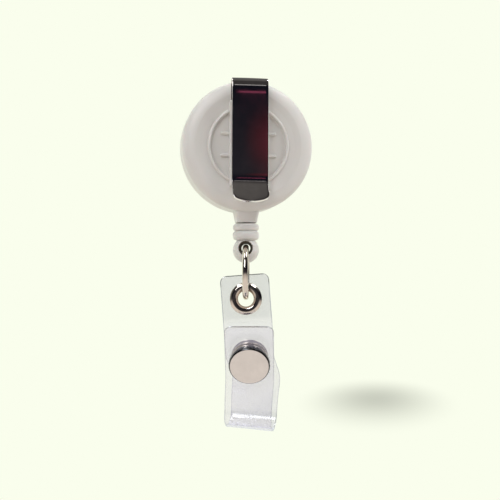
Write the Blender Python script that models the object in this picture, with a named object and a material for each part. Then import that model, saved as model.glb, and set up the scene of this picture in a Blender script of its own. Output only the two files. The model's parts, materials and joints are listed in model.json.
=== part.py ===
"""A retractable badge reel: a round two-part case with a sprung spool inside, a folded steel belt clip
on its back, and a cord that ends in a fitting, a steel ring and a clear strap closed by a snap.

The origin is the inside of the belt clip's bend, where a belt's edge rests. +Z is up and -Y is the
clip side. The reel hangs with its cord wound in. The fitting, ring and strap below it are turned a
little about the cord. Heights called Z_ below are counted from the case's centre, and each piece is
built in its parent empty's frame.
"""

import math

import bmesh
import bpy
from mathutils import Vector

MM = 0.001

# Clearances
FIT = 0.15 * MM
TIGHT_FIT = 0.10 * MM

# Belt clip: one steel strip, folded at the top
STRIP = 0.60 * MM
BEND_INSIDE = 0.90 * MM
BEND_MIDDLE = BEND_INSIDE + STRIP / 2
CLIP_WIDTH = 8.8 * MM
TAIL_WIDTH = 7.0 * MM
CREASE_HEIGHT = -9.85 * MM
LIP_LENGTH = 4.9 * MM
LIP_ANGLE = math.radians(28)
LIP_ROUND = 2.2 * MM

# Case
CASE_RADIUS = 16.0 * MM
CASE_CENTRE_Y = 6.25 * MM
CASE_CENTRE_Z = -15.45 * MM
RIM_HEIGHT = 2.6 * MM
CREST_RADIUS = 12.8 * MM
CREST_HEIGHT = 4.6 * MM
BEAD_OUTER = 9.9 * MM
BEAD_INNER = 9.15 * MM
BEAD_HEIGHT = 4.75 * MM
FLOOR_HEIGHT = 3.9 * MM
INSIDE_RADIUS = 14.6 * MM
RIM_INSIDE = 1.2 * MM
BACK_INSIDE = 2.8 * MM
FRONT_FACE = 4.7 * MM
FRONT_EDGE = 1.5 * MM
FRONT_INSIDE = 3.1 * MM
LABEL_RADIUS = 13.2 * MM
LABEL_DEPTH = 0.4 * MM
RIB_LENGTH = 13.6 * MM
RIB_WIDTH = 0.7 * MM
RIB_OFFSET = 2.65 * MM
RIB_HEIGHT = 4.4 * MM
HOLDER_WIDTH = 9.4 * MM
HOLDER_TOP = 10.6 * MM
HOLDER_BOTTOM = -10.0 * MM
HOLDER_HEIGHT = 6.3 * MM
SLOT_LOW = 4.6 * MM
SLOT_BOTTOM = -6.0 * MM
TAIL_BOTTOM = -5.0 * MM
POST_RADIUS = 2.0 * MM
POST_SLOT = 0.6 * MM
NECK_TOP_HALF = 3.1 * MM
NECK_HALF = 2.5 * MM
NECK_CORNER = 0.8 * MM
Z_NECK_TOP = -15.0 * MM
Z_NECK = -18.5 * MM
MOUTH_RADIUS = 0.9 * MM

# Spool, spring and cord
SPOOL_RADIUS = 13.6 * MM
SPOOL_HALF = 2.3 * MM
FLANGE = 0.7 * MM
GROOVE_RADIUS = 11.5 * MM
CUP_RADIUS = 10.4 * MM
WEB = 0.8 * MM
SPOOL_BORE = POST_RADIUS + FIT
WINDING_RADIUS = 13.2 * MM
SPRING_STRIP = 0.25 * MM
SPRING_TURNS = 7
SPRING_START = 2.7 * MM
SPRING_END = 9.9 * MM
COVER_THICK = 0.3 * MM
CORD_RADIUS = 0.4 * MM

# End fitting and ring
Z_FITTING = -18.75 * MM
Z_BALL = -25.15 * MM
BALL_RADIUS = 3.2 * MM
Z_HOLE = -24.75 * MM
HOLE_RADIUS = 1.55 * MM
Z_KNOT = -20.9 * MM
KNOT_RADIUS = 1.0 * MM
Z_RING = -30.6 * MM
RING_RADIUS = 6.1 * MM
WIRE_RADIUS = 0.75 * MM
LOWER_TURN = math.radians(-10)

# Strap and eyelet
VINYL = 0.5 * MM
STRAP_WIDTH = 12.0 * MM
STRAP_CORNER = 1.6 * MM
Z_STRAP_TOP = -31.2 * MM
Z_EYELET = -37.05 * MM
Z_BEND = -41.3 * MM
BEND_RADIUS = 12.0 * MM
SNAP_TILT = math.radians(27)
SNAP_ZONE = 10.4 * MM
LAYER_GAP = 3.2 * MM
FLAP_TIP = 10.2 * MM
LOOP_RADIUS = 3.6 * MM
LOOP_CENTRE_Y = 8.9 * MM
Z_LOOP = -66.0 * MM
TOP_LEAN = 0.075
LOOP_LEAN = -0.05
LOOP_TWIST = math.radians(-11)
Z_TWIST = -56.0 * MM
TWIST_CENTRE_Y = 7.0 * MM
LEG_DRIFT = 1.5 * MM
Z_DRIFT = (-50.5 * MM, -57.0 * MM, -66.0 * MM)
EYELET_RADIUS = 3.95 * MM
EYELET_HOLE = 1.9 * MM
BARREL_RADIUS = 2.3 * MM

# Snap
CAP_RADIUS = 5.05 * MM
CAP_FACE = 3.35 * MM
CAP_BARREL = 1.6 * MM
SOCKET_RADIUS = 4.4 * MM
STUD_RADIUS = 1.55 * MM
STUD_FLANGE = 4.3 * MM
POST_BARREL = 0.85 * MM
REAR_FLANGE = 4.2 * MM
SPRING_RING = 2.3 * MM
SPRING_WIRE = 0.22 * MM

CASE_ROUND = 48
SPOOL_ROUND = 36
SMALL_ROUND = 24


# Scene


def clear_scene():
    for obj in list(bpy.data.objects):
        bpy.data.objects.remove(obj, do_unlink=True)


def make_material(name, colour, roughness, metallic=0.0, alpha=1.0):
    material = bpy.data.materials.new(name)
    material.use_nodes = True
    shader = material.node_tree.nodes["Principled BSDF"]
    shader.inputs["Base Color"].default_value = (*colour, 1.0)
    shader.inputs["Roughness"].default_value = roughness
    shader.inputs["Metallic"].default_value = metallic
    shader.inputs["Alpha"].default_value = alpha
    return material


def add_empty(name, parent=None, location=(0, 0, 0), rotation=(0, 0, 0)):
    empty = bpy.data.objects.new(name, None)
    bpy.context.scene.collection.objects.link(empty)
    empty.empty_display_size = 5 * MM
    empty.parent = parent
    empty.location = location
    empty.rotation_euler = rotation
    return empty


def add_mesh(name, bm, material=None, parent=None, location=(0, 0, 0), rotation=(0, 0, 0)):
    """An object from a bmesh, with its faces turned outwards and its edges over 30 degrees kept sharp."""
    bmesh.ops.recalc_face_normals(bm, faces=bm.faces)
    mesh = bpy.data.meshes.new(name)
    bm.to_mesh(mesh)
    bm.free()
    mesh.shade_smooth()
    mesh.set_sharp_from_angle(angle=math.radians(30))
    obj = bpy.data.objects.new(name, mesh)
    bpy.context.scene.collection.objects.link(obj)
    if material:
        mesh.materials.append(material)
    obj.parent = parent
    obj.location = location
    obj.rotation_euler = rotation
    return obj


def combine(target, tool, operation):
    """Adds a Boolean to target and hides its tool."""
    tool.hide_render = True
    tool.display_type = "WIRE"
    modifier = target.modifiers.new(tool.name, "BOOLEAN")
    modifier.operation = operation
    modifier.solver = "EXACT"
    modifier.object = tool


# Shapes


def arc(centre, radius, start, end, steps):
    """Points on a circle, both ends included. Angles are in degrees."""
    angles = [math.radians(start + (end - start) * i / steps) for i in range(steps + 1)]
    return [(centre[0] + radius * math.cos(a), centre[1] + radius * math.sin(a)) for a in angles]


def turned(profile, segments, closed=True):
    """A solid turned about Z from (radius, height) points. An open profile starts and ends on Z."""
    bm = bmesh.new()
    rings = []
    for radius, height in profile:
        if radius < 1e-7:
            rings.append([bm.verts.new((0, 0, height))])
            continue
        ring = []
        for i in range(segments):
            angle = 2 * math.pi * i / segments
            ring.append(bm.verts.new((radius * math.cos(angle), radius * math.sin(angle), height)))
        rings.append(ring)
    pairs = list(zip(rings, rings[1:]))
    if closed:
        pairs.append((rings[-1], rings[0]))
    for a, b in pairs:
        for i in range(segments):
            j = (i + 1) % segments
            corners = [a[i % len(a)], a[j % len(a)], b[j % len(b)], b[i % len(b)]]
            bm.faces.new(list(dict.fromkeys(corners)))
    return bm


def lofted(sections, ring=False):
    """A solid through sections with equal numbers of points. With ring, the last joins the first."""
    bm = bmesh.new()
    loops = [[bm.verts.new(point) for point in section] for section in sections]
    count = len(loops[0])
    for a, b in zip(loops, loops[1:] + loops[:1] if ring else loops[1:]):
        for i in range(count):
            j = (i + 1) % count
            bm.faces.new((a[i], a[j], b[j], b[i]))
    if not ring:
        bm.faces.new(loops[0])
        bm.faces.new(list(reversed(loops[-1])))
    return bm


def boxed(low, high):
    """A box from its lowest to its highest corner."""
    corners = [(low[0], low[1]), (high[0], low[1]), (high[0], high[1]), (low[0], high[1])]
    return lofted([[(x, y, z) for x, y in corners] for z in (low[2], high[2])])


def normals_of(path):
    """A unit normal at each point of a path in a plane."""
    found = []
    for i in range(len(path)):
        ahead = Vector(path[min(i + 1, len(path) - 1)])
        behind = Vector(path[max(i - 1, 0)])
        along = (ahead - behind).normalized()
        found.append(Vector((along.y, -along.x)))
    return found


def strip(path, widths, thickness, placed=tuple):
    """A flat strip bent along a path of (y, z) points, with its half width along X given at each point."""
    sections = []
    for (y, z), half, normal in zip(path, widths, normals_of(path)):
        off = normal * thickness / 2
        near, far = (y - off.x, z - off.y), (y + off.x, z + off.y)
        corners = [(-half, *near), (half, *near), (half, *far), (-half, *far)]
        sections.append([placed(corner) for corner in corners])
    return lofted(sections)


def smooth(points, steps):
    """Points on a Catmull-Rom curve through the given ones."""
    ends = [points[0], *points, points[-1]]
    curve = []
    for i in range(len(points) - 1):
        a, b, c, d = (Vector(p) for p in ends[i : i + 4])
        for k in range(steps):
            t = k / steps
            square, cube = (2 * a - 5 * b + 4 * c - d) * t**2, (3 * b - a - 3 * c + d) * t**3
            curve.append((2 * b + (c - a) * t + square + cube) / 2)
    return [*curve, Vector(points[-1])]


def hermite(start, start_way, end, end_way, steps):
    """Points from start to end, leaving and arriving along the two given vectors."""
    p, q, u, v = (Vector(x) for x in (start, end, start_way, end_way))
    points = []
    for k in range(steps + 1):
        t = k / steps
        points.append(
            (2 * t**3 - 3 * t**2 + 1) * p
            + (t**3 - 2 * t**2 + t) * u
            + (3 * t**2 - 2 * t**3) * q
            + (t**3 - t**2) * v
        )
    return [tuple(point) for point in points]


# Case


def parted(shell, side):
    """Cuts a shell at the parting plane, leaving the side of Z that is given as 1 or -1."""
    reach = 30 * MM
    near = side * FIT / 2
    low, high = sorted((near, near - side * reach))
    other_side = boxed((-reach, -reach, low), (reach, reach, high))
    combine(shell, add_mesh(shell.name + "_parting", other_side, parent=shell.parent), "DIFFERENCE")


def square_section(half, height):
    """A square with round corners, at a height."""
    points = []
    for quarter, (across, up) in enumerate([(1, 1), (-1, 1), (-1, -1), (1, -1)]):
        centre = (across * (half - NECK_CORNER), up * (half - NECK_CORNER))
        points += [(x, y, height) for x, y in arc(centre, NECK_CORNER, 90 * quarter, 90 * quarter + 90, 3)]
    return points


def add_neck(shell):
    """The neck that the cord leaves by, before the parting cut, and the funnel through it."""
    along_cord = {"parent": shell.parent, "rotation": (-math.pi / 2, 0, 0)}
    body = lofted([square_section(NECK_HALF, Z_NECK), square_section(NECK_TOP_HALF, Z_NECK_TOP)])
    combine(shell, add_mesh(shell.name + "_neck", body, **along_cord), "UNION")
    funnel = [
        (0, Z_NECK - 0.5 * MM),
        (MOUTH_RADIUS, Z_NECK - 0.5 * MM),
        (MOUTH_RADIUS, -16.8 * MM),
        (2.6 * MM, -14.1 * MM),
        (0, -13.4 * MM),
    ]
    mouth = add_mesh(shell.name + "_funnel", turned(funnel, 16, closed=False), **along_cord)
    combine(shell, mouth, "DIFFERENCE")


def make_back_shell(material, frame):
    crown = arc((CREST_RADIUS, RIM_HEIGHT), CASE_RADIUS - CREST_RADIUS, 0, 90, 6)
    squash = (CREST_HEIGHT - RIM_HEIGHT) / (CASE_RADIUS - CREST_RADIUS)
    crown = [(r, RIM_HEIGHT + (h - RIM_HEIGHT) * squash) for r, h in crown]
    outside = [
        (CASE_RADIUS, -0.6 * MM),
        *crown,
        (11.4 * MM, 4.35 * MM),
        (BEAD_OUTER + 0.15 * MM, 4.15 * MM),
        (BEAD_OUTER - 0.1 * MM, BEAD_HEIGHT),
        (BEAD_INNER + 0.1 * MM, BEAD_HEIGHT),
        (BEAD_INNER, FLOOR_HEIGHT),
        (0, FLOOR_HEIGHT),
    ]
    inside = [
        (0, BACK_INSIDE),
        (9.0 * MM, BACK_INSIDE),
        (12.4 * MM, 3.3 * MM),
        (14.0 * MM, 2.4 * MM),
        (INSIDE_RADIUS, RIM_INSIDE),
        (INSIDE_RADIUS, -0.6 * MM),
    ]
    return add_mesh("back_shell", turned([*inside, *outside], CASE_ROUND, closed=False), material, frame)


def add_back_details(shell):
    """Ribs, clip holder, centre post and their slots, all in one piece with the shell."""
    frame = shell.parent
    inner = FLOOR_HEIGHT - 0.5 * MM
    for name, side in (("upper", 1), ("lower", -1)):
        middle = side * RIB_OFFSET
        rib = boxed(
            (-RIB_LENGTH / 2, middle - RIB_WIDTH / 2, inner),
            (RIB_LENGTH / 2, middle + RIB_WIDTH / 2, RIB_HEIGHT),
        )
        combine(shell, add_mesh(f"rib_{name}", rib, parent=frame), "UNION")
    half = HOLDER_WIDTH / 2
    holder = boxed((-half, HOLDER_BOTTOM, inner), (half, HOLDER_TOP, HOLDER_HEIGHT))
    combine(shell, add_mesh("clip_holder", holder, parent=frame), "UNION")
    half = TAIL_WIDTH / 2 + FIT
    high = SLOT_LOW + STRIP + 2 * FIT
    slot = boxed((-half, SLOT_BOTTOM, SLOT_LOW), (half, HOLDER_TOP + 2 * MM, high))
    combine(shell, add_mesh("clip_slot", slot, parent=frame), "DIFFERENCE")
    foot, top = 0.2 * MM - FRONT_INSIDE, BACK_INSIDE + 0.5 * MM
    profile = [(0, foot), (POST_RADIUS, foot), (POST_RADIUS, top), (0, top)]
    post = turned(profile, SMALL_ROUND, closed=False)
    combine(shell, add_mesh("centre_post", post, parent=frame), "UNION")
    slit = boxed((-POST_SLOT / 2, -3 * MM, -3.5 * MM), (POST_SLOT / 2, -0.5 * MM, BACK_INSIDE - 0.4 * MM))
    combine(shell, add_mesh("post_slit", slit, parent=frame), "DIFFERENCE")


def make_front_shell(material, frame):
    """The label side, whose face is sunk a little for a round label."""
    edge = arc((CASE_RADIUS - FRONT_EDGE, FRONT_EDGE - FRONT_FACE), FRONT_EDGE, 0, -90, 5)
    profile = [
        (0, -FRONT_INSIDE),
        (2.25 * MM, -FRONT_INSIDE),
        (2.25 * MM, 0.5 * MM - FRONT_INSIDE),
        (3.3 * MM, 0.5 * MM - FRONT_INSIDE),
        (3.3 * MM, -FRONT_INSIDE),
        (13.6 * MM, -FRONT_INSIDE),
        (INSIDE_RADIUS, -2.1 * MM),
        (INSIDE_RADIUS, 0.6 * MM),
        (CASE_RADIUS, 0.6 * MM),
        *edge,
        (LABEL_RADIUS, -FRONT_FACE),
        (LABEL_RADIUS, LABEL_DEPTH - FRONT_FACE),
        (0, LABEL_DEPTH - FRONT_FACE),
    ]
    return add_mesh("front_shell", turned(profile, CASE_ROUND, closed=False), material, frame)


# Inside the case


def make_spool(material, frame):
    top, rim = SPOOL_HALF, SPOOL_HALF - FLANGE
    profile = [
        (SPOOL_BORE, -top),
        (SPOOL_RADIUS, -top),
        (SPOOL_RADIUS, -rim),
        (GROOVE_RADIUS, -rim),
        (GROOVE_RADIUS, rim),
        (SPOOL_RADIUS, rim),
        (SPOOL_RADIUS, top),
        (CUP_RADIUS, top),
        (CUP_RADIUS, WEB - top),
        (SPOOL_BORE, WEB - top),
    ]
    return add_mesh("spool", turned(profile, SPOOL_ROUND), material, frame)


def make_spring_cover(material, frame):
    low = SPOOL_HALF - FIT - COVER_THICK
    outer, bore = CUP_RADIUS - FIT, SPOOL_BORE + FIT
    profile = [(bore, low), (outer, low), (outer, low + COVER_THICK), (bore, low + COVER_THICK)]
    return add_mesh("spring_cover", turned(profile, SPOOL_ROUND), material, frame)


def make_power_spring(material, frame):
    """A flat steel strip coiled in the spool's cup, with its inner end bent into the post's slit."""
    path = [(0, -0.9 * MM), (0, -1.9 * MM), (0.1 * MM, -2.45 * MM)]
    steps = 20 * SPRING_TURNS
    for i in range(1, steps + 1):
        angle = 2 * math.pi * i / 20 - math.pi / 2
        radius = SPRING_START + (SPRING_END - SPRING_START) * i / steps
        path.append((radius * math.cos(angle), radius * math.sin(angle)))
    low, high = WEB - SPOOL_HALF + 0.2 * MM, SPOOL_HALF - 0.6 * MM
    sections = []
    for (x, y), normal in zip(path, normals_of(path)):
        off = normal * SPRING_STRIP / 2
        near, far = (x - off.x, y - off.y), (x + off.x, y + off.y)
        sections.append([(*near, low), (*far, low), (*far, high), (*near, high)])
    return add_mesh("power_spring", lofted(sections), material, frame)


def make_cord_windings(material, frame):
    """The outer shape of the cord wound on the spool."""
    inner, half = GROOVE_RADIUS + FIT, SPOOL_HALF - FLANGE - FIT
    side = [(WINDING_RADIUS - 0.3 * MM, -half), (WINDING_RADIUS, 0.4 * MM - half)]
    profile = [(inner, -half), *side, *[(r, -h) for r, h in reversed(side)], (inner, half)]
    return add_mesh("cord_windings", turned(profile, SPOOL_ROUND), material, frame)


# Belt clip


def make_clip(material, axis):
    """The leg that the case holds and the tongue that opens, which meet at the top of the bend."""
    shoulder = CASE_CENTRE_Z + HOLDER_TOP + FIT + BEND_INSIDE
    foot = CASE_CENTRE_Z + TAIL_BOTTOM + BEND_INSIDE
    half, tail = CLIP_WIDTH / 2, TAIL_WIDTH / 2
    bend = arc((0, 0), BEND_MIDDLE, 75, 0, 5)
    leg = [*bend, (BEND_MIDDLE, shoulder), (BEND_MIDDLE, shoulder), (BEND_MIDDLE, foot)]
    widths = [half] * (len(bend) + 1) + [tail] * 2
    base = make_leg(leg, widths)
    add_mesh("clip_base_leg", base, material, axis)

    holder_face = CASE_CENTRE_Y - HOLDER_HEIGHT
    crease = (holder_face - FIT - STRIP / 2, CASE_CENTRE_Z + CREASE_HEIGHT + BEND_INSIDE)
    path = [*arc((0, 0), BEND_MIDDLE, 90, 180, 6), crease]
    widths = [half] * len(path)
    lip = Vector((-math.sin(LIP_ANGLE), -math.cos(LIP_ANGLE)))
    flat = LIP_LENGTH - LIP_ROUND
    path.append(tuple(Vector(crease) + lip * 0.5 * MM))
    widths.append(half)
    for share in (0.0, 0.35, 0.65, 0.87, 1.0):
        path.append(tuple(Vector(crease) + lip * (flat + LIP_ROUND * share)))
        widths.append(half * math.sqrt(1 - (0.97 * share) ** 2.6))
    add_mesh("clip_tongue", strip(path, widths, STRIP), material, axis)


def make_leg(path, widths):
    """The leg's strip, whose shoulder is a step in width at one height."""
    sections = []
    for (y, z), half in zip(path, widths):
        centre = Vector((y, z))
        radial = centre.normalized() if z > 0 else Vector((1, 0))
        near, far = centre - radial * STRIP / 2, centre + radial * STRIP / 2
        sections.append([(-half, *near), (half, *near), (half, *far), (-half, *far)])
    return lofted(sections)


# Cord and end fitting


def make_cord_run(material, frame):
    """The cord from the winding, round the funnel's lip and down the neck into the end fitting."""
    route = [
        (5.57 * MM, -12.52 * MM, 0),
        (3.60 * MM, -13.35 * MM, 0),
        (1.90 * MM, -14.05 * MM, 0),
        (0.70 * MM, -14.90 * MM, 0),
        (0.12 * MM, -15.95 * MM, 0),
        (0, -17.2 * MM, 0),
        (0, -18.6 * MM, 0),
        (0, Z_KNOT + KNOT_RADIUS + TIGHT_FIT, 0),
    ]
    points = smooth(route, 2)
    data = bpy.data.curves.new("cord_run", "CURVE")
    data.dimensions = "3D"
    data.bevel_depth = CORD_RADIUS
    data.bevel_resolution = 2
    data.use_fill_caps = True
    spline = data.splines.new("POLY")
    spline.points.add(len(points) - 1)
    for slot, point in zip(spline.points, points):
        slot.co = (*point, 1)
    cord = bpy.data.objects.new("cord_run", data)
    bpy.context.scene.collection.objects.link(cord)
    data.materials.append(material)
    cord.parent = frame
    return cord


def make_cord_knot(material, frame):
    profile = [(0, -KNOT_RADIUS), *arc((0, 0), KNOT_RADIUS, -60, 60, 4), (0, KNOT_RADIUS)]
    place = (0, 0, Z_KNOT - Z_FITTING)
    return add_mesh("cord_knot", turned(profile, 12, closed=False), material, frame, place)


def make_end_fitting(material, axis):
    """Two beads and a ball in one moulding, hollow at the top for the cord's knot."""
    room = KNOT_RADIUS + FIT
    floor, roof, hole = Z_KNOT - room, Z_KNOT + room, 0.6 * MM
    hollow = [(0, floor), (room, floor), (room, roof), (hole, roof), (hole, Z_FITTING)]
    beads = [
        (2.75 * MM, Z_FITTING),
        (3.1 * MM, -19.1 * MM),
        (3.2 * MM, -19.6 * MM),
        (3.1 * MM, -20.1 * MM),
        (2.75 * MM, -20.5 * MM),
        (3.1 * MM, -20.95 * MM),
        (3.25 * MM, -21.6 * MM),
        (3.1 * MM, -22.2 * MM),
        (2.3 * MM, -22.65 * MM),
    ]
    ball = arc((0, Z_BALL), BALL_RADIUS, 45, -75, 8)
    profile = [(r, z - Z_FITTING) for r, z in [*hollow, *beads, *ball, (0, Z_BALL - BALL_RADIUS)]]
    fitting = add_mesh("end_fitting", turned(profile, SMALL_ROUND, closed=False), material, axis)
    hole = add_mesh(
        "fitting_hole",
        turned([(0, -6 * MM), (HOLE_RADIUS, -6 * MM), (HOLE_RADIUS, 6 * MM), (0, 6 * MM)], 20, closed=False),
        parent=axis,
        location=(0, 0, Z_HOLE - Z_FITTING),
        rotation=(math.pi / 2, 0, 0),
    )
    combine(fitting, hole, "DIFFERENCE")
    return fitting


def wire_loop(radius, wire, around, across, sweep=360):
    """A round wire bent about X in the YZ plane. Under 360 degrees of sweep it is an open ring."""
    steps = around if sweep == 360 else around - 1
    sections = []
    for i in range(around):
        turn = math.radians(sweep * i / steps)
        section = []
        for x, out in arc((0, radius), wire, 0, 360 - 360 / across, across - 1):
            section.append((x, out * math.sin(turn), out * math.cos(turn)))
        sections.append(section)
    return lofted(sections, ring=sweep == 360)


# Strap


def lean_at(z):
    """How far across the strap's middle line is at a height, and its sideways slope there."""
    depth = Z_BEND - z
    if depth < 0:
        return TOP_LEAN * (Z_EYELET - z), TOP_LEAN
    change = (LOOP_LEAN - TOP_LEAN) / (Z_BEND - Z_LOOP)
    across = TOP_LEAN * (Z_EYELET - Z_BEND) + TOP_LEAN * depth + change * depth**2 / 2
    return across, TOP_LEAN + change * depth


def hung(point, lean):
    """A point of the straight strap, moved as the strap leans at its top and twists towards its loop."""
    x, y, z = point
    across, slope = lean
    share = min(max((Z_TWIST - z) / (Z_TWIST - Z_LOOP), 0), 1)
    turn = LOOP_TWIST * share**2 * (3 - 2 * share)
    back = y - TWIST_CENTRE_Y
    return (
        across + x * math.cos(turn) - back * math.sin(turn),
        TWIST_CENTRE_Y + x * math.sin(turn) + back * math.cos(turn),
        z + x * slope,
    )


def drift_at(z):
    """How far the long leg is to one side of the flap, which grows below the snap and goes at the loop."""
    top, middle, low = Z_DRIFT
    share = (top - z) / (top - middle) if z > middle else (z - low) / (middle - low)
    share = min(max(share, 0), 1)
    return LEG_DRIFT * share**2 * (3 - 2 * share)


def hung_leg(point):
    x, y, z = hung(point, lean_at(point[2]))
    return (x + drift_at(point[2]), y, z)


def flap_hung_from(z_snap):
    """The flap follows the leg from the snap down, and stands straight above it."""

    def hung_flap(point):
        return hung(point, lean_at(point[2]) if point[2] < z_snap else (lean_at(z_snap)[0], 0))

    return hung_flap


def strap_paths():
    """The middle lines of the strap's long leg and flap, as (y, z) points down to the fold."""
    way = Vector((math.sin(SNAP_TILT), -math.cos(SNAP_TILT)))
    back = Vector((math.cos(SNAP_TILT), math.sin(SNAP_TILT)))
    bend_end = Vector((BEND_RADIUS * (1 - math.cos(SNAP_TILT)), Z_BEND - BEND_RADIUS * math.sin(SNAP_TILT)))
    snap = bend_end + way * SNAP_ZONE / 2
    corner_steps = [STRAP_CORNER * (1 - math.cos(math.radians(a))) for a in (0, 30, 60, 90)]
    start = [(0, Z_STRAP_TOP - d) for d in corner_steps]
    bend = [(BEND_RADIUS - y, Z_BEND - z) for y, z in arc((0, 0), BEND_RADIUS, 0, math.degrees(SNAP_TILT), 5)]
    zone_end = snap + way * SNAP_ZONE / 2
    fold_back = (LOOP_CENTRE_Y + LOOP_RADIUS, Z_LOOP)
    fold_front = (LOOP_CENTRE_Y - LOOP_RADIUS, Z_LOOP)
    swing = hermite(zone_end, way * 9 * MM, fold_back, (0, -12 * MM), 6)
    half_gap = math.degrees(FIT / 2 / LOOP_RADIUS)
    under = arc((LOOP_CENTRE_Y, Z_LOOP), LOOP_RADIUS, 0, -90 + half_gap, 6)
    long_leg = [*start, *bend, *swing, *under[1:]]

    front_end = zone_end - back * LAYER_GAP
    tip = snap - back * LAYER_GAP - way * FLAP_TIP
    front = [tuple(tip + way * d) for d in corner_steps]
    down = hermite(front_end, way * 8 * MM, fold_front, (0, -7 * MM), 4)
    under = arc((LOOP_CENTRE_Y, Z_LOOP), LOOP_RADIUS, 180, 270 - half_gap, 6)
    flap = [*front, *down, *under[1:]]
    return long_leg, flap, snap - back * LAYER_GAP / 2


def strap_widths(path):
    """Half widths along a path whose first end has round corners."""
    half = STRAP_WIDTH / 2
    corner = [half - STRAP_CORNER * (1 - math.sin(math.radians(a))) for a in (0, 30, 60)]
    return corner + [half] * (len(path) - len(corner))


def punch(sheet, name, radius, centre, tilt, frame):
    """A round hole through a strap layer, square to it."""
    reach = 1.2 * MM
    cutter = add_mesh(
        name,
        turned([(0, -reach), (radius, -reach), (radius, reach), (0, reach)], 20, closed=False),
        parent=frame,
        location=centre,
        rotation=(math.pi / 2 + tilt, 0, 0),
    )
    combine(sheet, cutter, "DIFFERENCE")


def make_eyelet(metal, frame):
    """The eyelet's rolled front flange and barrel, and the washer that its end is spread over."""
    front, rear = VINYL / 2 + TIGHT_FIT, -VINYL / 2 - TIGHT_FIT
    washer_back = rear - 0.5 * MM
    spread = washer_back - TIGHT_FIT
    eyelet = [
        (BARREL_RADIUS, front),
        (EYELET_RADIUS, front),
        (EYELET_RADIUS, front + 0.25 * MM),
        (3.6 * MM, front + 0.65 * MM),
        (3.0 * MM, front + 0.8 * MM),
        (2.4 * MM, front + 0.7 * MM),
        (2.0 * MM, front + 0.4 * MM),
        (EYELET_HOLE, front),
        (EYELET_HOLE, spread),
        (2.2 * MM, spread - 0.35 * MM),
        (2.9 * MM, spread - 0.3 * MM),
        (2.9 * MM, spread),
        (BARREL_RADIUS, spread),
    ]
    place = {"location": (0, 0, Z_EYELET), "rotation": (math.pi / 2, 0, 0)}
    add_mesh("eyelet", turned(eyelet, SMALL_ROUND), metal, frame, **place)
    bore, edge = BARREL_RADIUS + TIGHT_FIT, 3.9 * MM
    washer = [
        (bore, washer_back),
        (edge - 0.3 * MM, washer_back),
        (edge, rear - 0.2 * MM),
        (edge, rear),
        (bore, rear),
    ]
    add_mesh("eyelet_washer", turned(washer, SMALL_ROUND), metal, frame, **place)


# Snap, with heights counted towards the cap from the middle between the strap's layers


def make_snap_front(satin, metal, frame):
    front = LAYER_GAP / 2 + VINYL / 2 + TIGHT_FIT
    inner = LAYER_GAP / 2 - VINYL / 2 - TIGHT_FIT
    cap = [
        (0, 0.75 * MM),
        (CAP_BARREL, 0.75 * MM),
        (CAP_BARREL, front),
        (4.75 * MM, front),
        (CAP_RADIUS, front + 0.25 * MM),
        (CAP_RADIUS, CAP_FACE - 0.4 * MM),
        (4.85 * MM, CAP_FACE - 0.1 * MM),
        (4.5 * MM, CAP_FACE),
        (0, CAP_FACE),
    ]
    add_mesh("snap_cap", turned(cap, SMALL_ROUND, closed=False), satin, frame)
    socket = [
        (CAP_BARREL + FIT, inner),
        (4.2 * MM, inner),
        (SOCKET_RADIUS, inner - 0.25 * MM),
        (SOCKET_RADIUS, inner - 0.75 * MM),
        (3.6 * MM, -0.1 * MM),
        (3.4 * MM, -0.45 * MM),
        (1.95 * MM, -0.45 * MM),
        (1.95 * MM, -0.1 * MM),
        (2.75 * MM, -0.1 * MM),
        (2.75 * MM, 0.6 * MM),
        (CAP_BARREL + FIT, 0.6 * MM),
    ]
    add_mesh("snap_socket", turned(socket, SMALL_ROUND), metal, frame)
    place = {"location": (0, 0, 0.25 * MM), "rotation": (0, math.pi / 2, 0)}
    add_mesh("snap_spring", wire_loop(SPRING_RING, SPRING_WIRE, 18, 6, sweep=325), metal, frame, **place)


def make_snap_back(metal, frame):
    inner = -LAYER_GAP / 2 + VINYL / 2 + TIGHT_FIT
    rear = -LAYER_GAP / 2 - VINYL / 2 - TIGHT_FIT
    bore = POST_BARREL + FIT
    stud = [
        (0, -0.15 * MM),
        (bore, -0.15 * MM),
        (bore, inner),
        (STUD_FLANGE, inner),
        (STUD_FLANGE, inner + 0.5 * MM),
        (3.0 * MM, inner + 0.6 * MM),
        (STUD_RADIUS, inner + 0.6 * MM),
        (STUD_RADIUS, 0.25 * MM),
        (1.1 * MM, 0.5 * MM),
        (0, 0.5 * MM),
    ]
    add_mesh("snap_stud", turned(stud, SMALL_ROUND, closed=False), metal, frame)
    post = [
        (0, rear - 0.5 * MM),
        (3.7 * MM, rear - 0.5 * MM),
        (REAR_FLANGE, rear - 0.25 * MM),
        (REAR_FLANGE, rear),
        (POST_BARREL, rear),
        (POST_BARREL, -0.3 * MM),
        (0, -0.3 * MM),
    ]
    add_mesh("snap_post", turned(post, SMALL_ROUND, closed=False), metal, frame)


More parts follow.
